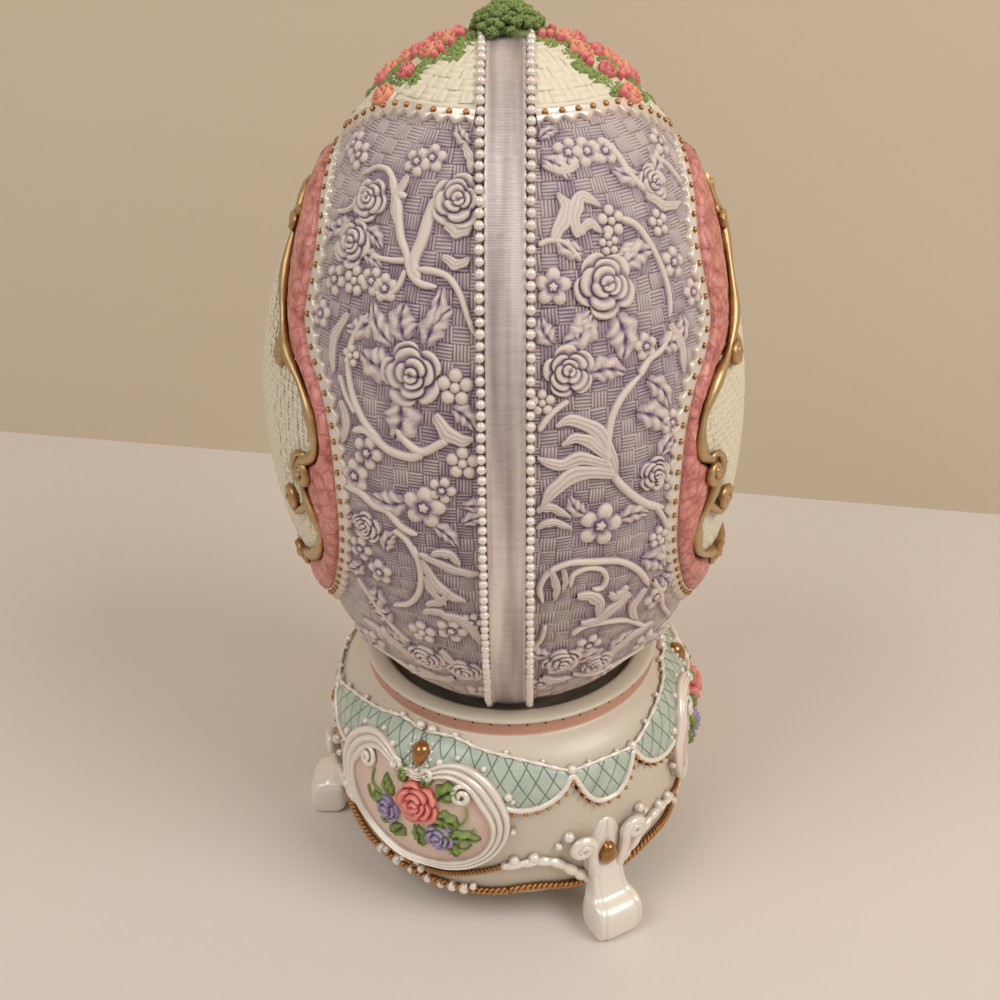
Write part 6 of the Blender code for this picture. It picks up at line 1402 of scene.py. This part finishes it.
for vert in foot_bm.verts:
    level = int(round((vert.co.y + 0.5) * LEVELS))
    z, near, far = foot_line[level]
    wide = foot_widths[level].x
    turn = 2 * math.pi * (vert.co.x + 0.5)
    across, out = (math.copysign(abs(part) ** 0.42, part) for part in (math.sin(turn), math.cos(turn)))
    # a crease on each side of the face makes the end of the pad look rolled
    crease = 0.5 * math.exp(-((abs(across) - 0.72) / 0.07) ** 2) * min(max(out, 0.0) * 2.0, 1.0)
    radius = (near + far) / 2 + (far - near) / 2 * out - 0.5 * crease
    vert[wiped] = 0.95 - 0.7 * crease
    vert.co = Vector((across * wide, -radius, max(z, 0.0))) * MM
bmesh.ops.remove_doubles(foot_bm, verts=foot_bm.verts, dist=2e-6)
bmesh.ops.holes_fill(foot_bm, edges=[edge for edge in foot_bm.edges if edge.is_boundary], sides=0)
bmesh.ops.recalc_face_normals(foot_bm, faces=foot_bm.faces)

leaf_bm = flat_bmesh()


def foot_leaf_edges(t):
    reach = 4.3 * (0.62 + 0.45 * math.sin(math.pi * t)) * max(1.0 - t ** 5, 0.01) ** 0.5 + 0.12
    return -reach, reach


def foot_leaf_section(u, t):
    """A rounded blade with a groove down its middle and one near each edge."""
    far = abs(u)
    if far > 0.99:
        return -0.1, 0.2
    groove = math.exp(-(u / 0.18) ** 2) * min(1.0, 2.5 * t)
    side_groove = math.exp(-((far - 0.62) / 0.12) ** 2)
    body = (1.0 - far ** 4) ** 0.6
    top = max(1.0 - t ** 6, 0.0) ** 0.5 * (1.0 - 0.3 * t)
    return (1.7 * body * (1.0 - 0.22 * groove - 0.12 * side_groove) * top,
            0.95 - 0.55 * groove - 0.4 * side_groove)


strip(leaf_bm, base_form, ((0.0, 9.6), (-0.2, 15.0), (-0.3, 21.0), (0.0, 27.0)), foot_leaf_edges,
      foot_leaf_section, 28, 14)
for side in (-1, 1):
    # a strand of the leaf, curling over at its end
    strand = [(side * degrees, z) for degrees, z in
              ((2.6, 8.8), (3.2, 12.0), (4.6, 16.0), (5.6, 19.6), (5.4, 22.4))]
    spots = base_spots(strand, 2.0, 24)
    radii = [1.75 - 0.6 * math.sin(math.pi * 0.5 * index / 23) for index in range(24)]
    spots += spiral(side, 8.8, -arc_at(base_form, 22.6), BELLY_SCALE, 2.25, 175, -560, 0.8, 2.0, 0.6, 37)
    radii += [1.15 - 0.45 * step / 36 for step in range(37)]
    thick_line(leaf_bm, spots, radii, 8, form=base_form)
    # the arm, in pearly lumps, and its loose beads
    arm = [(side * degrees, z) for degrees, z in
           ((3.4, 10.4), (7.0, 12.6), (11.0, 15.6), (16.0, 19.0), (21.0, 20.2), (26.0, 19.8), (31.5, 19.0))]
    spots = base_spots(arm, 0.9, 71)
    radii = [(1.25 - 0.006 * index) * (0.78 + 0.3 * abs(math.sin(index * 0.32))) for index in range(71)]
    thick_line(leaf_bm, spots, radii, 8, form=base_form)
    for degrees, z, size in ((12.4, 25.4, 1.25), (15.4, 23.2, 0.85), (22.8, 20.9, 1.3), (28.6, 20.4, 1.2),
                             (31.4, 18.8, 0.9)):
        berry(leaf_bm, base_form, side * degrees, z, size, size, 0.0, 0.45)
oval_bm = flat_bmesh()
OVAL_ROWS = ((0.0, 3.4, 1.0), (0.4, 3.3, 1.0), (0.75, 2.9, 0.7), (0.95, 2.3, 0.4), (1.0, 1.2, 0.1))
disc(oval_bm, base_form, 0.0, 18.4,
     lambda turn: 1.0 / math.hypot(math.cos(turn) / 1.85, math.sin(turn) / 2.9),
     lambda v, turn: OVAL_ROWS[int(round(v * 4))], 24, 4)
three_round("foot_pad", foot_bm, shell_pearl, "pearl_paint", FEET, "foot")
three_round("foot_leaf", wrap(leaf_bm, base_form), shell_pearl, "pearl_paint", FEET)
three_round("foot_oval", wrap(oval_bm, base_form), gem_gold, "gold_paint", FEET)

# Gold rope
# A twisted rope cast round the bottom edge, and shorter ropes that carry the arms on under the medallions.
# Pearls and gold dots are set along it and under the rim.


def rope(bm, points, count, thick, turns, closed=False):
    """Two strands wound round each other along a smooth line of (degrees, height) on the base."""
    line = base_spots(points, 0.0, count)
    for strand in (0, 1):
        spots = []
        for index, (degrees, low, lift) in enumerate(line):
            phase = 2 * math.pi * turns * index / count + math.pi * strand
            spots.append((degrees, low + 0.5 * thick * math.sin(phase),
                          0.85 * thick + 0.5 * thick * math.cos(phase)))
        thick_line(bm, spots[:-1] if closed else spots, [0.62 * thick] * len(spots), 6, closed, base_form)


rope_bm, pearls_bm = flat_bmesh(), flat_bmesh()
ring = [(degrees, 10.0 + 1.9 * math.exp(-((abs((degrees + 90.0) % 120.0 - 60.0) - 38.0) / 10.0) ** 2))
        for degrees in range(0, 361, 5)]
rope(rope_bm, ring, 841, 0.85, 105, True)
SHORT_ROPE = ((27.5, 18.4), (21.0, 16.4), (14.0, 14.4), (8.0, 13.2), (3.0, 12.6))
for place_name, middle in MEDALLIONS:
    for side in (-1, 1):
        rope(rope_bm, [(middle + side * degrees, z) for degrees, z in SHORT_ROPE], 97, 0.62, 12)
    for degrees, z, size in ((-9.0, 10.6, 1.2), (-3.5, 10.0, 0.9), (1.0, 12.2, 0.9), (3.0, 9.8, 1.1),
                             (7.5, 9.4, 1.0), (11.5, 9.8, 1.15), (15.5, 10.0, 1.2), (-14.0, 11.4, 0.8),
                             (-17.0, 10.2, 1.1), (0.0, 14.4, 0.8), (18.5, 11.2, 0.8), (-6.0, 12.8, 0.7)):
        berry(pearls_bm, base_form, middle + degrees, z, size, size, 0.0, 0.8)
wrap(rope_bm, base_form)
for index in range(54):
    bmesh.ops.create_icosphere(rope_bm, subdivisions=1, radius=0.24 * MM, matrix=Matrix.Rotation(
        2 * math.pi * index / 54, 4, "Z") @ Matrix.Translation((0.0, -31.0 * MM, 48.6 * MM)))
add_piece("gold_rope", rope_bm, old_gold, "base", "gold_paint", "rope_trim")
add_piece("rope_pearls", wrap(pearls_bm, base_form), shell_pearl, "base", "pearl_paint")

# Floor and backdrop
# A pale tabletop and a plain pale wall that stands behind it at the photograph's angle.


def backdrop_finish(name, colour):
    """Matt paint with a faint broad unevenness."""
    made, shader, spot = new_finish(name)
    broad = spot.noise(9.0, 2.0)
    feed(shader, Base_Color=broad.mixed((*(c * 0.96 for c in colour), 1.0), (*colour, 1.0)),
         Roughness=0.75 + broad * 0.1)
    return made


stage_shapes = (
    ("floor", "floor_paint", linear(222, 210, 199), Matrix.Translation((0.0, 0.0, -0.0002))),
    ("backdrop", "wall_paint", linear(214, 197, 170),
     Matrix.Translation((-0.0130, 0.1630, 0.0)) @ Matrix.Rotation(math.radians(-9.9), 4, "Z")
     @ Matrix.Rotation(math.radians(90), 4, "X")),
)
for name, finish_name, colour, place in stage_shapes:
    bm = bmesh.new()
    bmesh.ops.create_grid(bm, x_segments=1, y_segments=1, size=2.0)
    bmesh.ops.transform(bm, matrix=place, verts=bm.verts)
    mesh = bpy.data.meshes.new(name)
    bm.to_mesh(mesh)
    bm.free()
    mesh.materials.append(backdrop_finish(finish_name, colour))
    plane = bpy.data.objects.new(name, mesh)
    bpy.context.scene.collection.objects.link(plane)

# Light and camera
# Two large soft lamps from the front, right and left, over a dim even world. The camera looks down on the
# egg's front from about thirty degrees, as in the photograph.

scene = bpy.context.scene
scene.view_settings.view_transform = "Standard"
world = bpy.data.worlds.new("studio")
world.use_nodes = True
world.node_tree.nodes["Background"].inputs["Color"].default_value = (0.93, 0.95, 1.0, 1.0)
world.node_tree.nodes["Background"].inputs["Strength"].default_value = 0.38
scene.world = world

TARGET = Vector((-2.0, -0.05, 81.48)) * MM
LAMPS = (("key_lamp", 58.0, 44.0, 0.85, 0.45, 3.6), ("left_lamp", -52.0, 50.0, 0.90, 0.50, 2.6))
for name, azimuth, elevation, distance, size, power in LAMPS:
    lamp = bpy.data.lights.new(name, "AREA")
    lamp.shape, lamp.size, lamp.energy, lamp.color = "DISK", size, power, (1.0, 0.965, 0.925)
    holder = bpy.data.objects.new(name, lamp)
    turn, rise = math.radians(azimuth), math.radians(elevation)
    away = Vector((math.sin(turn) * math.cos(rise), -math.cos(turn) * math.cos(rise), math.sin(rise)))
    holder.location = TARGET + away * distance
    holder.rotation_euler = away.to_track_quat("Z", "Y").to_euler()
    scene.collection.objects.link(holder)

camera_data = bpy.data.cameras.new("camera")
camera_data.sensor_width, camera_data.lens = 36.0, 36.0 * 1.198
camera_data.clip_start = 0.01
camera = bpy.data.objects.new("camera", camera_data)
place = Vector((2.80, -211.70, 202.78)) * MM
look = (TARGET - place).to_track_quat("-Z", "Y").to_matrix().to_4x4()
camera.matrix_world = Matrix.Translation(place) @ look @ Matrix.Rotation(math.radians(-0.63), 4, "Z")
scene.collection.objects.link(camera)
scene.camera = camera
